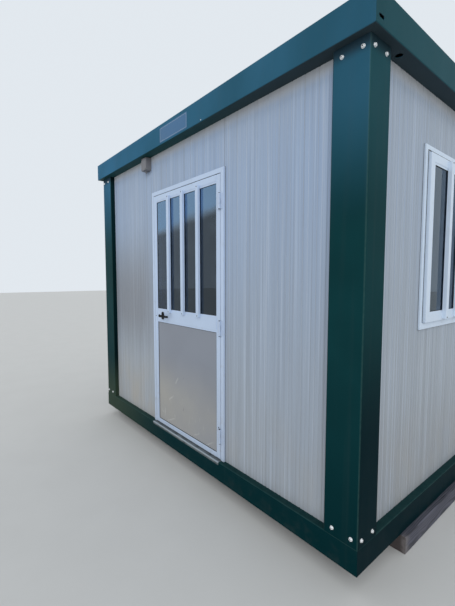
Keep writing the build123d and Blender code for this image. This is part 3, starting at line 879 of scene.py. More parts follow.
class Workpiece:
    """A mesh in the making: a primitive that is shaped in edit mode and finished where it belongs."""

    def __init__(self) -> None:
        """Takes the object that is active and puts its place into its mesh."""
        self.thing = bpy.context.active_object
        self.settle()

    @staticmethod
    def clear() -> None:
        """Deselects every object."""
        bpy.ops.object.select_all(action="DESELECT")

    @classmethod
    def block(cls, low: Point, high: Point) -> "Workpiece":
        """Adds a block.

        Args:
            low: Its lowest corner.
            high: Its highest corner.

        Returns:
            The block.
        """
        cls.clear()
        middle = [(a + b) / 2 for a, b in zip(low, high)]
        size = [b - a for a, b in zip(low, high)]
        bpy.ops.mesh.primitive_cube_add(size=1, location=middle, scale=size)
        return cls()

    @classmethod
    def sheet(cls, x_low: float, x_high: float, y: float, z_low: float, z_high: float) -> "Workpiece":
        """Adds an upright face that looks towards -Y.

        Args:
            x_low: Its left edge.
            x_high: Its right edge.
            y: Its plane.
            z_low: Its lower edge.
            z_high: Its upper edge.

        Returns:
            The face.
        """
        cls.clear()
        middle = ((x_low + x_high) / 2, y, (z_low + z_high) / 2)
        bpy.ops.mesh.primitive_plane_add(size=1, location=middle, rotation=(math.pi / 2, 0, 0))
        bpy.context.active_object.scale = (x_high - x_low, z_high - z_low, 1)
        return cls()

    @classmethod
    def disc(cls, centre: Point, radius: float, depth: float, sides: int = 16,
             towards: str = "Y") -> "Workpiece":
        """Adds a round or many-sided prism.

        Args:
            centre: The prism's middle.
            radius: Its radius at the corners.
            depth: Its length along its axis.
            sides: The number of its sides.
            towards: The axis that it lies along, Y or Z.

        Returns:
            The prism.
        """
        cls.clear()
        turn = (math.pi / 2, 0, 0) if towards == "Y" else (0, 0, 0)
        bpy.ops.mesh.primitive_cylinder_add(vertices=sides, radius=radius, depth=depth,
                                            location=centre, rotation=turn)
        return cls()

    def activate(self) -> None:
        """Makes this the one selected and active object."""
        self.clear()
        self.thing.select_set(True)
        bpy.context.view_layer.objects.active = self.thing

    def settle(self) -> "Workpiece":
        """Moves the object's place, turn and scale into its mesh.

        Returns:
            The piece.
        """
        self.activate()
        bpy.ops.object.transform_apply(location=True, rotation=True, scale=True)
        return self

    def edited(self, kind: Pick, chosen: Chosen, operator: Callable[..., set[str]],
               **settings: object) -> "Workpiece":
        """Runs one edit mode operator on chosen elements.

        Args:
            kind: What is selected.
            chosen: Tells, from an element's place and direction, whether it is selected. A face's or a
                vertex's direction is its normal, and an edge's runs along it.
            operator: The operator.
            settings: Its settings.

        Returns:
            The piece.
        """
        self.activate()
        bpy.ops.object.mode_set(mode="EDIT")
        bpy.ops.mesh.select_all(action="DESELECT")
        bpy.ops.mesh.select_mode(type=kind.value)
        mesh = bmesh.from_edit_mesh(self.thing.data)
        mesh.normal_update()
        for element, place, direction in elements(mesh, kind):
            if chosen(place, direction):
                element.select_set(True)
        mesh.select_flush_mode()
        bmesh.update_edit_mesh(self.thing.data)
        operator(**settings)
        bpy.ops.object.mode_set(mode="OBJECT")
        return self

    def cut(self, point: Point, normal: Point, drop: bool = False, fill: bool = False) -> "Workpiece":
        """Bisects the mesh, and drops what lies beyond the plane or closes the cut if asked."""
        return self.edited(Pick.VERTS, everything, bpy.ops.mesh.bisect, plane_co=point, plane_no=normal,
                           clear_outer=drop, use_fill=fill)

    def move(self, chosen: Chosen, offset: Point) -> "Workpiece":
        """Moves the chosen vertices."""
        return self.edited(Pick.VERTS, chosen, bpy.ops.transform.translate, value=offset)

    def extrude(self, offset: Point) -> "Workpiece":
        """Draws an open sheet out into a closed body whose faces point outwards."""
        self.edited(Pick.FACES, everything, bpy.ops.mesh.extrude_region_move,
                    TRANSFORM_OT_translate={"value": offset})
        return self.edited(Pick.FACES, everything, bpy.ops.mesh.normals_make_consistent, inside=False)

    def inset(self, chosen: Chosen, width: float, depth: float = 0.0) -> "Workpiece":
        """Insets the chosen faces, and sinks them by a depth."""
        return self.edited(Pick.FACES, chosen, bpy.ops.mesh.inset, thickness=width, depth=-depth)

    def bevel(self, chosen: Chosen, width: float, segments: int = 2) -> "Workpiece":
        """Rounds the chosen edges."""
        return self.edited(Pick.EDGES, chosen, bpy.ops.mesh.bevel, offset=width, segments=segments,
                           affect="EDGES")

    def remove(self, chosen: Chosen) -> "Workpiece":
        """Deletes the chosen faces."""
        return self.edited(Pick.FACES, chosen, bpy.ops.mesh.delete, type="FACE")

    def array(self, count: int, offset: Point) -> "Workpiece":
        """Repeats the piece in a row, and merges its copies where they meet.

        Args:
            count: How many there are in all.
            offset: The way from each to the next.

        Returns:
            The row.
        """
        row = self.thing.modifiers.new("Row", "ARRAY")
        row.count = count
        row.use_relative_offset = False
        row.use_constant_offset = True
        row.constant_offset_displace = offset
        row.use_merge_vertices = True
        row.merge_threshold = SLACK
        self.activate()
        bpy.ops.object.modifier_apply(modifier=row.name)
        return self

    def smooth(self, angle: float) -> "Workpiece":
        """Shades the mesh smooth where its faces meet at less than an angle.

        Args:
            angle: The angle, in degrees.

        Returns:
            The piece.
        """
        self.activate()
        bpy.ops.object.shade_smooth_by_angle(angle=math.radians(angle))
        return self

    def placed(self, place: Matrix) -> "Workpiece":
        """Brings the piece, drawn at the origin, to its place."""
        self.thing.matrix_world = place
        return self.settle()

    def turned(self, side: Side) -> "Workpiece":
        """Brings a piece drawn against the front to a side of the cabin."""
        return self.placed(side.turn())

    def repeated(self, places: Iterable[Matrix]) -> "Workpiece":
        """Replaces the piece by joined copies of itself.

        Args:
            places: A place for each copy.

        Returns:
            The copies, as one piece.
        """
        copies = []
        for place in places:
            self.activate()
            bpy.ops.object.duplicate()
            copies.append(Workpiece().placed(place))
        bpy.data.objects.remove(self.thing)
        return joined(copies)

    def finish(self, name: str, finish: Finish, body: Body, slot: Slot,
               replaces: Iterable[str] = ()) -> None:
        """Names, paints and mounts the finished piece.

        Args:
            name: The piece's name.
            finish: Its finish.
            body: The body that it rides on.
            slot: The record's slot; it is not used.
            replaces: The CAD nodes that it stands for.
        """
        self.thing.name = name
        self.thing.data.name = name
        self.thing.data.materials.clear()
        self.thing.data.materials.append(finish.material())
        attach(self.thing, body.value)
        if replaces:
            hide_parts(*replaces)
        LOG.info("%s: %d faces on %s", name, len(self.thing.data.polygons), body.value)


def elements(mesh: bmesh.types.BMesh, kind: Pick) -> list[tuple]:
    """Lists a mesh's elements of one kind, each with its place and direction.

    Args:
        mesh: The mesh.
        kind: Which elements are listed.

    Returns:
        A row of element, place and direction for each.
    """
    if kind is Pick.FACES:
        return [(face, face.calc_center_median(), face.normal) for face in mesh.faces]
    if kind is Pick.VERTS:
        return [(vert, vert.co, vert.normal) for vert in mesh.verts]
    ends = [(edge, edge.verts[0].co, edge.verts[1].co) for edge in mesh.edges]
    return [(edge, (start + end) / 2, (end - start).normalized()) for edge, start, end in ends]


def joined(pieces: list[Workpiece]) -> Workpiece:
    """Joins several pieces into the first.

    Args:
        pieces: The pieces, at least one.

    Returns:
        The first piece, with the others' meshes in it.
    """
    pieces[0].activate()
    for piece in pieces[1:]:
        piece.thing.select_set(True)
    if len(pieces) > 1:
        bpy.ops.object.join()
    return pieces[0]


def round_edge(front: float) -> Chosen:
    """Chooses the edges that lie in a plane across Y."""
    return lambda place, way: near(place.y, front) and not corner_edge(place, way)


def level_edge(level: float) -> Chosen:
    """Chooses the edges that lie at a level."""
    return lambda place, _: near(place.z, level)


def corner_edge(place: Vector, way: Vector) -> bool:
    """Chooses the edges that run along Y, as a front plate's corners do."""
    return abs(way.y) > ALIGNED


def crown(front: float) -> Chosen:
    """Chooses the faces in a plane across Y that look towards -Y."""
    return lambda place, normal: normal.y < -ALIGNED and near(place.y, front)


def hub(front: float) -> Chosen:
    """Chooses the one face of a crown that lies round the Y axis."""
    return lambda place, normal: crown(front)(place, normal) and near(math.hypot(place.x, place.z), 0)


def seen_from_front(node: str, side: Side) -> tuple[Vector, Vector]:
    """Gives a node's lowest and highest corners once its side is turned to the front.

    Args:
        node: The CAD node.
        side: The side that it belongs to.

    Returns:
        The two corners.
    """
    back = side.turn().inverted()
    corners = [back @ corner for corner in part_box(node)]
    return Vector(map(min, *corners)), Vector(map(max, *corners))


def ring(x_half: float, z_low: float, z_high: float, width: float, front: float, depth: float,
         edge: float = 0.0) -> Workpiece:
    """Makes a flat frame round an opening, in the plane of the front.

    Args:
        x_half: Half the opening's width, at the frame's outer edge.
        z_low: The frame's lower edge.
        z_high: The frame's upper edge.
        width: The width of its bars, inwards.
        front: The Y of its front.
        depth: How far it reaches back from there.
        edge: The rounding of its front edges.

    Returns:
        The frame.
    """
    piece = Workpiece.sheet(-x_half, x_half, front, z_low, z_high)
    piece.inset(everything, width)
    middle = (z_low + z_high) / 2
    piece.remove(lambda place, _: near(place.x, 0) and near(place.z, middle))
    piece.extrude((0, depth, 0))
    if edge:
        piece.bevel(round_edge(front), edge)
    return piece


@dataclass(frozen=True)
class PanHead:
    """A screw's pan head with a driver's recess. Its shares are of its height or its radius."""

    radius: float
    height: float
    edge_share: float = 0.45
    rim_share: float = 0.30
    slope_share: float = 0.02
    recess_share: float = 0.5

    def make(self) -> Workpiece:
        """Makes the head at the origin, with its back on Y 0, looking towards -Y.

        Returns:
            The head.
        """
        head = Workpiece.disc((0, -self.height / 2, 0), self.radius, self.height)
        head.bevel(round_edge(-self.height), self.height * self.edge_share)
        head.inset(crown(-self.height), self.radius * self.rim_share)
        head.inset(hub(-self.height), self.radius * self.slope_share, self.height * self.recess_share)
        return head.smooth(40)


def at(x: float, y: float, z: float, turn: float = 0.0) -> Matrix:
    """Gives a place, with a turn in degrees about the Y axis."""
    return Matrix.Translation((x, y, z)) @ Matrix.Rotation(math.radians(turn), 4, "Y")


@dataclass
class Walls:
    """The sandwich panels, each with upright grooves rolled into its faces."""

    module: float = 1.0
    grooves: int = 33
    group: int = 3
    minor_half: float = 0.0030
    minor_depth: float = 0.0014
    major_half: float = 0.0046
    major_depth: float = 0.0026
    end_gap: float = 0.0017
    end_bevel: float = 0.0020
    face_depth: float = 0.004
    least_panel: float = 0.01
    names: dict[str, Side] = field(default_factory=lambda: {
        "front_wall_left": Side.FRONT, "front_wall_right": Side.FRONT,
        "front_wall_over_door": Side.FRONT, "right_wall_front": Side.RIGHT,
        "right_wall_back": Side.RIGHT, "right_wall_over_window": Side.RIGHT,
        "right_wall_under_window": Side.RIGHT, "back_wall": Side.BACK, "left_wall": Side.LEFT,
    })

    def cell(self, start: float, outer: float, low: float, high: float) -> Workpiece:
        """Makes one group of grooves as a strip of skin.

        Args:
            start: The strip's left edge.
            outer: The Y of the skin's face.
            low: The skin's foot.
            high: The skin's top.

        Returns:
            The strip, with its grooves pressed in.
        """
        pitch = self.module / self.grooves
        strip = Workpiece.sheet(start, start + pitch * self.group, outer, low, high)
        for index in range(self.group):
            centre = start + pitch * (index + 0.5)
            major = index == self.group // 2
            half = self.major_half if major else self.minor_half
            depth = self.major_depth if major else self.minor_depth
            for share in (-1, -0.5, 0.5, 1):
                strip.cut((centre + share * half, 0, 0), (1, 0, 0))
            strip.move(lambda place, _: near(abs(place.x - centre), half / 2), (0, depth, 0))
        return strip

    def panel(self, start: float, end: float, outer: float, inner: float, low: float,
              high: float) -> Workpiece:
        """Makes one closed panel against the front.

        Args:
            start: Its left end.
            end: Its right end.
            outer: The Y of its outer face.
            inner: The Y of its inner face.
            low: Its foot.
            high: Its top.

        Returns:
            The panel.
        """
        width = self.module / self.grooves * self.group
        first = -self.module / 2 + math.floor((start + self.module / 2) / width + SLACK) * width
        skin = self.cell(first, outer, low, high).array(math.ceil((end - first) / width), (width, 0, 0))
        ends = (start + self.end_gap, end - self.end_gap)
        for x, way in zip(ends, (-1, 1)):
            skin.cut((x, 0, 0), (way, 0, 0), drop=True)
        skin.extrude((0, inner - outer, 0))
        return skin.bevel(lambda place, way: abs(way.z) > ALIGNED and place.y < outer + self.face_depth
                          and any(near(place.x, x) for x in ends), self.end_bevel, 1)

    def build(self) -> None:
        """Builds every panel on its side."""
        for node, side in self.names.items():
            low, high = seen_from_front(node, side)
            inside = (low.x + self.least_panel, high.x - self.least_panel)
            joints = [x for x in (-self.module / 2, self.module / 2) if inside[0] < x < inside[1]]
            stops = [low.x, *joints, high.x]
            panels = [self.panel(start, end, low.y, high.y, low.z, high.z).turned(side)
                      for start, end in zip(stops, stops[1:])]
            joined(panels).finish(f"skin_{node}", SKIN, Body.CABIN, Slot.PANEL, [node])


@dataclass
class SteelFrame:
    """The bolts of the frame, and the bare plate and the rivet on its front fascia."""

    flange: float = 0.0205
    flange_height: float = 0.002
    flange_edge_share: float = 0.4
    head: float = 0.0165
    head_height: float = 0.0065
    dome_share: float = 0.55
    socket_radius: float = 0.0042
    socket_depth: float = 0.0040
    socket_slope: float = 0.0001
    floor_gap: float = 0.0003
    floor_thickness: float = 0.0008
    floor_edge: float = 0.0002
    long_side_places: tuple[float, float] = (0.037, 0.145)
    short_side_places: tuple[float, float] = (0.032, 0.136)
    long_side_turn: float = 25.0
    short_side_turn: float = 40.0
    bolt_from_foot: float = 0.040
    bolt_from_top: float = 0.046
    foot_turn: float = 12.0
    top_turn: float = 37.0
    plate_left: float = -0.222
    plate_right: float = 0.176
    plate_low: float = 2.655
    plate_high: float = 2.770
    plate_thickness: float = 0.0008
    plate_corner: float = 0.006
    plate_edge: float = 0.00025
    line_inset: float = 0.007
    line_width: float = 0.0025
    line_height: float = 0.0002
    rivet_place: tuple[float, float] = (0.351, 2.652)
    rivet_head: PanHead = PanHead(0.0040, 0.0010)

    def bolt(self) -> Workpiece:
        """Makes a domed, socketed bolt head on a round flange, at the origin and looking towards -Y.

        Returns:
            The flange and the head.
        """
        flange = Workpiece.disc((0, -self.flange_height / 2, 0), self.flange / 2, self.flange_height, 20)
        flange.bevel(round_edge(-self.flange_height), self.flange_height * self.flange_edge_share, 1)
        top = -(self.flange_height + self.head_height)
        head = Workpiece.disc((0, top + self.head_height / 2, 0), self.head / 2, self.head_height, 18)
        dome = self.head_height * self.dome_share
        head.bevel(round_edge(top), dome, 3)
        head.inset(crown(top), self.head / 2 - dome - self.socket_radius)
        head.inset(hub(top), self.socket_slope, self.socket_depth)
        return joined([flange, head]).smooth(30)

    def socket(self) -> Workpiece:
        """Makes the dark floor of a bolt's socket: a black disc, as painted shade in its recess.

        Returns:
            The floor, where it lies in a bolt at the origin.
        """
        back = -(self.flange_height + self.head_height - self.socket_depth)
        front = back - self.floor_thickness
        floor = Workpiece.disc((0, (back + front) / 2, 0), self.socket_radius - self.floor_gap,
                               self.floor_thickness, 12)
        return floor.bevel(round_edge(front), self.floor_edge, 1)

    def places(self, node: str) -> list[Matrix]:
        """Gives the places of one corner post's eight bolts.

        Args:
            node: The post.

        Returns:
            Four places on each of the post's two outer faces.
        """
        low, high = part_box(node)
        right, front = low.x > 0, low.y < 0
        x_face, y_face = (high.x if right else low.x), (low.y if front else high.y)
        inwards_x, inwards_y = (-1 if right else 1), (1 if front else -1)
        long_face = (Side.FRONT if front else Side.BACK).turn()
        short_face = (Side.RIGHT if right else Side.LEFT).turn()
        places = []
        levels = ((low.z + self.bolt_from_foot, self.foot_turn),
                  (high.z - self.bolt_from_top, self.top_turn))
        for z, turn in levels:
            for count, away in enumerate(self.long_side_places):
                place = Matrix.Translation((x_face + inwards_x * away, y_face, z)) @ long_face
                places.append(place @ at(0, 0, 0, turn + self.long_side_turn * count))
            for count, away in enumerate(self.short_side_places):
                place = Matrix.Translation((x_face, y_face + inwards_y * away, z)) @ short_face
                places.append(place @ at(0, 0, 0, turn + self.short_side_turn * count))
        return places

    def bolts(self) -> None:
        """Builds eight bolts on each corner post, with painted shade in their sockets."""
        # Each bolt's socket gets a black disc as painted shade.
        kinds = (("bolts", self.bolt, BOLT_ZINC), ("bolt_socket_shade", self.socket, BLACK))
        for node in (name for name in frame["nodes"] if name.startswith("corner_post")):
            corner = node.removeprefix("corner_post_")
            places = self.places(node)
            for name, make, finish in kinds:
                make().repeated(places).finish(f"{name}_{corner}", finish, Body.CABIN, Slot.GALVANISED)

    def fascia(self) -> None:
        """Builds the bare plate on the front fascia, the plain line round it and the blind rivet."""
        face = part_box("roof_beam_front")[0].y
        front = face - self.plate_thickness
        plate = Workpiece.block((self.plate_left, front, self.plate_low),
                                (self.plate_right, face, self.plate_high))
        plate.bevel(corner_edge, self.plate_corner, 4).bevel(round_edge(front), self.plate_edge, 1)
        plate.finish("fascia_plate", PLATE, Body.CABIN, Slot.FRAME)
        middle = (self.plate_left + self.plate_right) / 2
        half = (self.plate_right - self.plate_left) / 2 - self.line_inset
        line = ring(half, self.plate_low + self.line_inset, self.plate_high - self.line_inset,
                    self.line_width, front - self.line_height, 2 * self.line_height)
        line.placed(at(middle, 0, 0)).finish("fascia_plate_line", PLATE_LINE, Body.CABIN, Slot.FRAME)
        x, z = self.rivet_place
        rivet = self.rivet_head.make().placed(at(x, face, z))
        rivet.finish("fascia_rivet", BOLT_ZINC, Body.CABIN, Slot.GALVANISED)

    def build(self) -> None:
        """Builds the frame's small pieces."""
        self.bolts()
        self.fascia()


@dataclass
class Roof:
    """The screws that hold the roof sheet on its purlins."""

    rib_pitch: float = 0.200
    rib_count: int = 12
    purlin_count: int = 6
    purlin_width: float = 0.040
    washer_radius: float = 0.009
    washer_height: float = 0.0015
    washer_edge_share: float = 0.3
    head_radius: float = 0.0055
    head_height: float = 0.0045
    head_edge_share: float = 0.15

    def screw(self) -> Workpiece:
        """Makes a six-sided screw head on a washer, at the origin and looking towards +Z.

        Returns:
            The washer and the head.
        """
        height = self.washer_height
        washer = Workpiece.disc((0, 0, height / 2), self.washer_radius, height, 12, "Z")
        washer.bevel(level_edge(height), height * self.washer_edge_share, 1)
        top = height + self.head_height
        head = Workpiece.disc((0, 0, (height + top) / 2), self.head_radius, self.head_height, 6, "Z")
        head.bevel(level_edge(top), self.head_height * self.head_edge_share, 1)
        return joined([washer, head]).smooth(30)

    def build(self) -> None:
        """Builds a screw on every rib over every purlin."""
        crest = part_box("roof_sheet")[1].z
        low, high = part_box("roof_purlins")
        pitch = (high.x - low.x - self.purlin_width) / (self.purlin_count - 1)
        rows = [(row - (self.rib_count - 1) / 2) * self.rib_pitch for row in range(self.rib_count)]
        columns = [low.x + self.purlin_width / 2 + column * pitch for column in range(self.purlin_count)]
        places = [Matrix.Translation((x, y, crest)) for x in columns for y in rows]
        self.screw().repeated(places).finish("roof_screws", BOLT_ZINC, Body.CABIN, Slot.GALVANISED)


@dataclass
class Glazing:
    """The dark seals round the panes and panels, and the sealant round the casings, which also stands as
    painted shadow along them.
    """

    seal_width: float = 0.003
    seal_depth: float = 0.0032
    seal_edge: float = 0.0008
    sealant_width: float = 0.003
    sealant_depth: float = 0.002

    def seal(self, node: str, bite: float, body: Body, side: Side) -> None:
        """Builds the seal in front of a pane or a panel, along the clear opening's edge.

        Args:
            node: The pane.
            bite: How far it reaches into its profiles.
            body: The body that it rides on.
            side: The side that it belongs on.
        """
        low, high = seen_from_front(node, side)
        piece = ring(high.x - bite, low.z + bite, high.z - bite, self.seal_width,
                     low.y - self.seal_depth, self.seal_depth, self.seal_edge)
        piece.turned(side).finish(f"{node}_seal", RUBBER, body, Slot.ALUMINIUM)

    def sealant(self, name: str, half: float, low: float, high: float, wall: float, side: Side,
                foot: float | None = None) -> None:
        """Builds the line of grey sealant between a casing and the wall, which also stands as painted
        shadow there.

        Args:
            name: The piece's name.
            half: Half the casing's width.
            low: The casing's foot.
            high: The casing's top.
            wall: The Y of the wall's face.
            side: The side that it belongs on.
            foot: The level where it stops, if it doesn't run below the casing.
        """
        piece = ring(half + self.sealant_width, low - self.sealant_width, high + self.sealant_width,
                     self.sealant_width, wall - self.sealant_depth, self.sealant_depth)
        if foot is not None:
            piece.cut((0, 0, foot), (0, 0, -1), drop=True, fill=True)
        piece.turned(side).finish(name, SEALANT_AND_SHADOW, Body.CABIN, Slot.ALUMINIUM)


@dataclass
class BarScrews:
    """The screws of a row of upright bars, one near each end of each bar."""

    bars: int = 3
    from_end: float = 0.008
    head: PanHead = PanHead(0.0042, 0.0018)

    def build(self, node: str, width: float, turn: float, body: Body, side: Side) -> None:
        """Builds the screws of one row.

        Args:
            node: The bars' CAD node, whose name ends in s.
            width: The width of a bar.
            turn: How far each bar's screws are turned from the last bar's, in degrees.
            body: The body that the bars ride on.
            side: The side that they belong on.
        """
        low, high = seen_from_front(node, side)
        pitch = (high.x - low.x - width) / (self.bars - 1)
        levels = (low.z + self.from_end, high.z - self.from_end)
        places = [at(low.x + width / 2 + index * pitch, low.y, z, turn * index)
                  for index in range(self.bars) for z in levels]
        heads = self.head.make().repeated(places).turned(side)
        heads.finish(f"{node.removesuffix('s')}_screws", SCREW, body, Slot.HINGE)


@dataclass
class Door:
    """The small pieces of the door and its frame."""

    pane_bite: float = 0.010
    casing_trim: float = 0.015
    leaf_gap: float = 0.005
    seal_width: float = 0.0018
    seal_front: float = 0.004
    seal_depth: float = 0.044
    seal_press: float = 0.0002
    seal_spare: float = 0.05
    bar_width: float = 0.034
    bar_screw_turn: float = 17.0
    hinge_height: float = 0.105
    middle_hinge: float = 1.205
    knuckle_radius: float = 0.008
    flap_width: float = 0.022
    flap_thickness: float = 0.003
    flap_screw: PanHead = PanHead(0.0034, 0.0010)
    flap_screw_spread: float = 0.036
    flap_screw_turn: float = 300.0
    pin_cap_radius: float = 0.0064
    pin_cap_height: float = 0.0045
    pin_cap_edge_share: float = 0.4
    keyhole_place: tuple[float, float] = (-0.403, 1.233)
    keyhole_cover: PanHead = PanHead(0.0060, 0.0030)
    latch_place: tuple[float, float] = (-0.4555, 1.2225)
    latch_size: tuple[float, float] = (0.013, 0.005)
    latch_thickness: float = 0.001
    latch_corner_share: float = 0.45
    plug_place: tuple[float, float] = (0.4545, 0.4785)
    plug: PanHead = PanHead(0.0050, 0.0020)

    def hinges(self) -> None:
        """Builds the screws of the hinges' flaps and the caps on their pins."""
        low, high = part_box("door_hinges_fixed")
        half = self.hinge_height / 2
        levels = (low.z + half, self.middle_hinge, high.z - half)
        heights = [level + offset * self.flap_screw_spread for level in levels for offset in (-1, 0, 1)]
        front = high.y - self.flap_thickness
        flaps = (("door_hinges_fixed", Body.CABIN, high.x - self.flap_width / 2),
                 ("door_hinges_leaf", Body.DOOR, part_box("door_hinges_leaf")[0].x + self.flap_width / 2))
        for node, body, x in flaps:
            places = [at(x, front, z, self.flap_screw_turn * z) for z in heights]
            heads = self.flap_screw.make().repeated(places)
            heads.finish(f"{node}_screws", HINGE_WHITE, body, Slot.HINGE)
        x, y, height = low.x + self.knuckle_radius, low.y + self.knuckle_radius, self.pin_cap_height
        caps = []
        for level in levels:
            for way in (-1, 1):
                inner, outer = level + way * half, level + way * (half + height)
                cap = Workpiece.disc((x, y, (inner + outer) / 2), self.pin_cap_radius, height, 16, "Z")
                caps.append(cap.bevel(level_edge(outer), height * self.pin_cap_edge_share))
        joined(caps).smooth(40).finish("door_hinge_caps", DARK_CAP, Body.DOOR, Slot.HINGE)

    def fittings(self) -> None:
        """Builds the keyhole's cover, the latch's small plate and the plug near the lower hinge."""
        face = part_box("door_leaf_frame")[0].y
        x, z = self.keyhole_place
        cover = self.keyhole_cover.make().placed(at(x, face, z))
        cover.finish("door_keyhole_cover", BLACK, Body.DOOR, Slot.HANDLE)
        (x, z), (length, height) = self.latch_place, self.latch_size
        plate = Workpiece.block((x - length / 2, face - self.latch_thickness, z - height / 2),
                                (x + length / 2, face, z + height / 2))
        plate.bevel(corner_edge, height * self.latch_corner_share, 3)
        plate.smooth(40).finish("door_latch_plate", BLACK, Body.DOOR, Slot.HANDLE)
        x, z = self.plug_place
        plug = self.plug.make().placed(at(x, face, z))
        plug.finish("door_plug", DARK_CAP, Body.DOOR, Slot.HINGE)

    def seal(self) -> None:
        """Builds the dark seal that lies in the casing round the leaf, which also stands as painted
        shadow in the gap.
        """
        low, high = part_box("door_leaf_frame")
        reach = self.leaf_gap - self.seal_press
        piece = ring(high.x + reach, low.z - self.seal_spare, high.z + reach, self.seal_width,
                     low.y + self.seal_front, self.seal_depth)
        piece.cut((0, 0, low.z), (0, 0, -1), drop=True, fill=True)
        piece.finish("door_casing_seal_and_shadow", RUBBER, Body.CABIN, Slot.ALUMINIUM)

    def build(self) -> None:
        """Builds the door's small pieces."""
        BarScrews().build("door_bars", self.bar_width, self.bar_screw_turn, Body.DOOR, Side.FRONT)
        self.hinges()
        self.fittings()
        self.seal()
        glazing = Glazing()
        for node in ("door_glass", "door_lower_panel"):
            glazing.seal(node, self.pane_bite, Body.DOOR, Side.FRONT)
        low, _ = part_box("door_frame_left")
        _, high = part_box("door_frame_head")
        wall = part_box("front_wall_left")[0].y
        glazing.sealant("door_sealant_and_shadow", -low.x - self.casing_trim, low.z, high.z - self.casing_trim,
                        wall, Side.FRONT, low.z)


@dataclass
class Window:
    """The small pieces of the window and its frame."""

    pane_bite: float = 0.008
    casing_trim: float = 0.015
    bar_width: float = 0.038
    bar_screw_turn: float = 23.0
    lip_from_sash: float = 0.005
    lip_over_sash: float = 0.009
    lip_width: float = 0.006
    lip_height: float = 0.001
    lip_edge: float = 0.0003
    side: Side = Side.RIGHT

    def shadow_line(self) -> None:
        """Builds the grey lip that lies on the casing round the sash, as a painted shadow line round it.
        """
        low, high = seen_from_front("window_sash", self.side)
        face = seen_from_front("window_frame", self.side)[0].y
        beside = self.lip_from_sash + self.lip_width
        above = self.lip_over_sash + self.lip_width
        piece = ring(high.x + beside, low.z - beside, high.z + above, self.lip_width,
                     face - self.lip_height, self.lip_height, self.lip_edge)
        piece.cut((0, 0, low.z), (0, 0, -1), drop=True, fill=True)
        piece.turned(self.side).finish("window_shadow_line", SHADOW_LINE, Body.CABIN, Slot.ALUMINIUM)

    def build(self) -> None:
        """Builds the window's small pieces."""
        BarScrews().build("window_bars", self.bar_width, self.bar_screw_turn, Body.CABIN, self.side)
        self.shadow_line()
        glazing = Glazing()
        glazing.seal("window_glass", self.pane_bite, Body.CABIN, self.side)
        low, high = seen_from_front("window_frame", self.side)
        wall = seen_from_front("right_wall_front", self.side)[0].y
        glazing.sealant("window_sealant_and_shadow", high.x - self.casing_trim, low.z + self.casing_trim,
                        high.z - self.casing_trim, wall, self.side)


@dataclass
class JunctionBox:
    """The screws of the junction box's lid and the blanked gland below the box."""

    lid_step: float = 0.002
    screw_inset: float = 0.011
    screw: PanHead = PanHead(0.0036, 0.0014)
    screw_turns: tuple[float, ...] = (10.0, 50.0, 80.0, 25.0)
    gland_from_wall: float = 0.026
    nut_radius: float = 0.011
    nut_height: float = 0.007
    nut_edge: float = 0.0008
    cap_radius: float = 0.0085
    cap_height: float = 0.012
    cap_edge_share: float = 0.4

    def build(self) -> None:
        """Builds the box's small pieces."""
        low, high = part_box("junction_box")
        inset = self.lid_step + self.screw_inset
        corners = [(x, z) for z in (low.z + inset, high.z - inset)
                   for x in (low.x + inset, high.x - inset)]
        places = [at(x, low.y, z, turn) for (x, z), turn in zip(corners, self.screw_turns)]
        heads = self.screw.make().repeated(places)
        heads.finish("junction_box_screws", DARK_CAP, Body.CABIN, Slot.BOX)
        x, y = (low.x + high.x) / 2, high.y - self.gland_from_wall
        seam = low.z - self.nut_height
        nut = Workpiece.disc((x, y, (low.z + seam) / 2), self.nut_radius, self.nut_height, 6, "Z")
        nut.bevel(level_edge(seam), self.nut_edge, 1)
        foot = seam - self.cap_height
        cap = Workpiece.disc((x, y, (seam + foot) / 2), self.cap_radius, self.cap_height, 16, "Z")
        cap.bevel(level_edge(foot), self.cap_height * self.cap_edge_share, 3)
        joined([nut, cap]).smooth(30).finish("junction_box_gland", BOX, Body.CABIN, Slot.BOX)


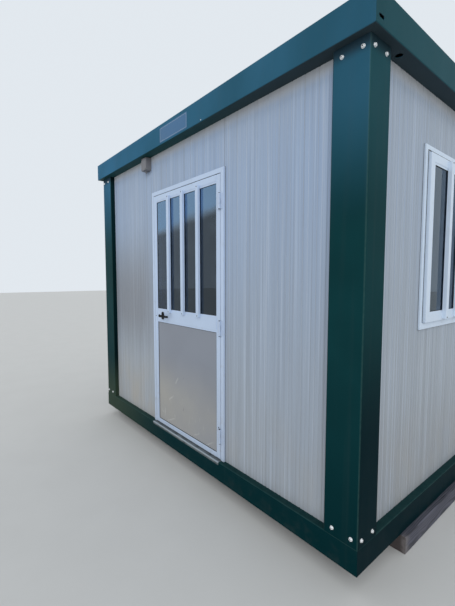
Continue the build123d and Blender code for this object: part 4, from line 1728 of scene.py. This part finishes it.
@dataclass
class Studio:
    """The floor, the light and the camera."""

    camera_place: Point = (2.4394, -2.7352, 1.5654)
    camera_aim: Point = (0.5888, -1.2, 1.3933)
    lens: float = 21.27
    view_reach: float = 200.0
    floor_size: float = 80.0
    floor_level: float = -0.0005
    floor_finish: Finish = Finish("Studio_floor", (0.62, 0.62, 0.61), 0.85, shade=0.02)
    backdrop_colour: Colour = (0.76, 0.81, 0.86)
    light_colour: Colour = (0.93, 0.97, 1.0)
    ambient: float = 0.78
    key_strength: float = 1.06
    key_turn: Point = (65.0, 0.0, 45.0)
    key_spread: float = 40.0

    def floor(self) -> None:
        """Lays the pale floor."""
        Workpiece.clear()
        bpy.ops.mesh.primitive_plane_add(size=self.floor_size, location=(0, 0, self.floor_level))
        floor = bpy.context.active_object
        floor.name = "studio_floor"
        floor.data.materials.append(self.floor_finish.material())

    def world(self) -> None:
        """Sets the light from all round, and the pale backdrop that the camera and reflections see."""
        world = bpy.data.worlds.new("Studio")
        world.use_nodes = True
        bpy.context.scene.world = world
        nodes, links = world.node_tree.nodes, world.node_tree.links
        light = nodes["Background"]
        light.inputs["Color"].default_value = (*self.light_colour, 1)
        light.inputs["Strength"].default_value = self.ambient
        backdrop = nodes.new("ShaderNodeBackground")
        backdrop.inputs["Color"].default_value = (*self.backdrop_colour, 1)
        path = nodes.new("ShaderNodeLightPath")
        seen = path.outputs["Is Camera Ray"]
        for name in ("Is Glossy Ray", "Is Transmission Ray"):
            both = nodes.new("ShaderNodeMath")
            both.operation = "MAXIMUM"
            links.new(seen, both.inputs[0])
            links.new(path.outputs[name], both.inputs[1])
            seen = both.outputs[0]
        mix = nodes.new("ShaderNodeMixShader")
        links.new(seen, mix.inputs[0])
        links.new(light.outputs[0], mix.inputs[1])
        links.new(backdrop.outputs[0], mix.inputs[2])
        links.new(mix.outputs[0], nodes["World Output"].inputs[0])

    def lamp(self) -> None:
        """Hangs one wide soft lamp in front of the cabin."""
        bpy.ops.object.light_add(type="SUN", rotation=[math.radians(angle) for angle in self.key_turn])
        key = bpy.context.active_object
        key.name = "Key"
        key.data.energy = self.key_strength
        key.data.angle = math.radians(self.key_spread)

    def camera(self) -> None:
        """Sets the camera where the photograph was taken from."""
        place, aim = Vector(self.camera_place), Vector(self.camera_aim)
        turn = (aim - place).to_track_quat("-Z", "Y").to_euler()
        bpy.ops.object.camera_add(location=place, rotation=turn)
        camera = bpy.context.active_object
        camera.data.lens = self.lens
        camera.data.clip_end = self.view_reach
        bpy.context.scene.camera = camera

    def build(self) -> None:
        """Builds the studio."""
        self.floor()
        self.world()
        self.lamp()
        self.camera()
        bpy.context.scene.view_settings.view_transform = "Standard"


def paint_nodes() -> None:
    """Gives every CAD node the finish of its slot in the record."""
    for row in frame["record"]["subparts"]:
        material = FINISHES[Slot(row["material_slot"])].material()
        for slot in frame["nodes"][row["node"]].material_slots:
            slot.material = material


def main() -> None:
    """Builds the cabin's looks, sub-assembly by sub-assembly."""
    logging.basicConfig(level=logging.INFO)
    paint_nodes()
    for assembly in (Walls(), SteelFrame(), Roof(), Door(), Window(), JunctionBox(), Studio()):
        assembly.build()


if __name__ == "__main__":
    main()
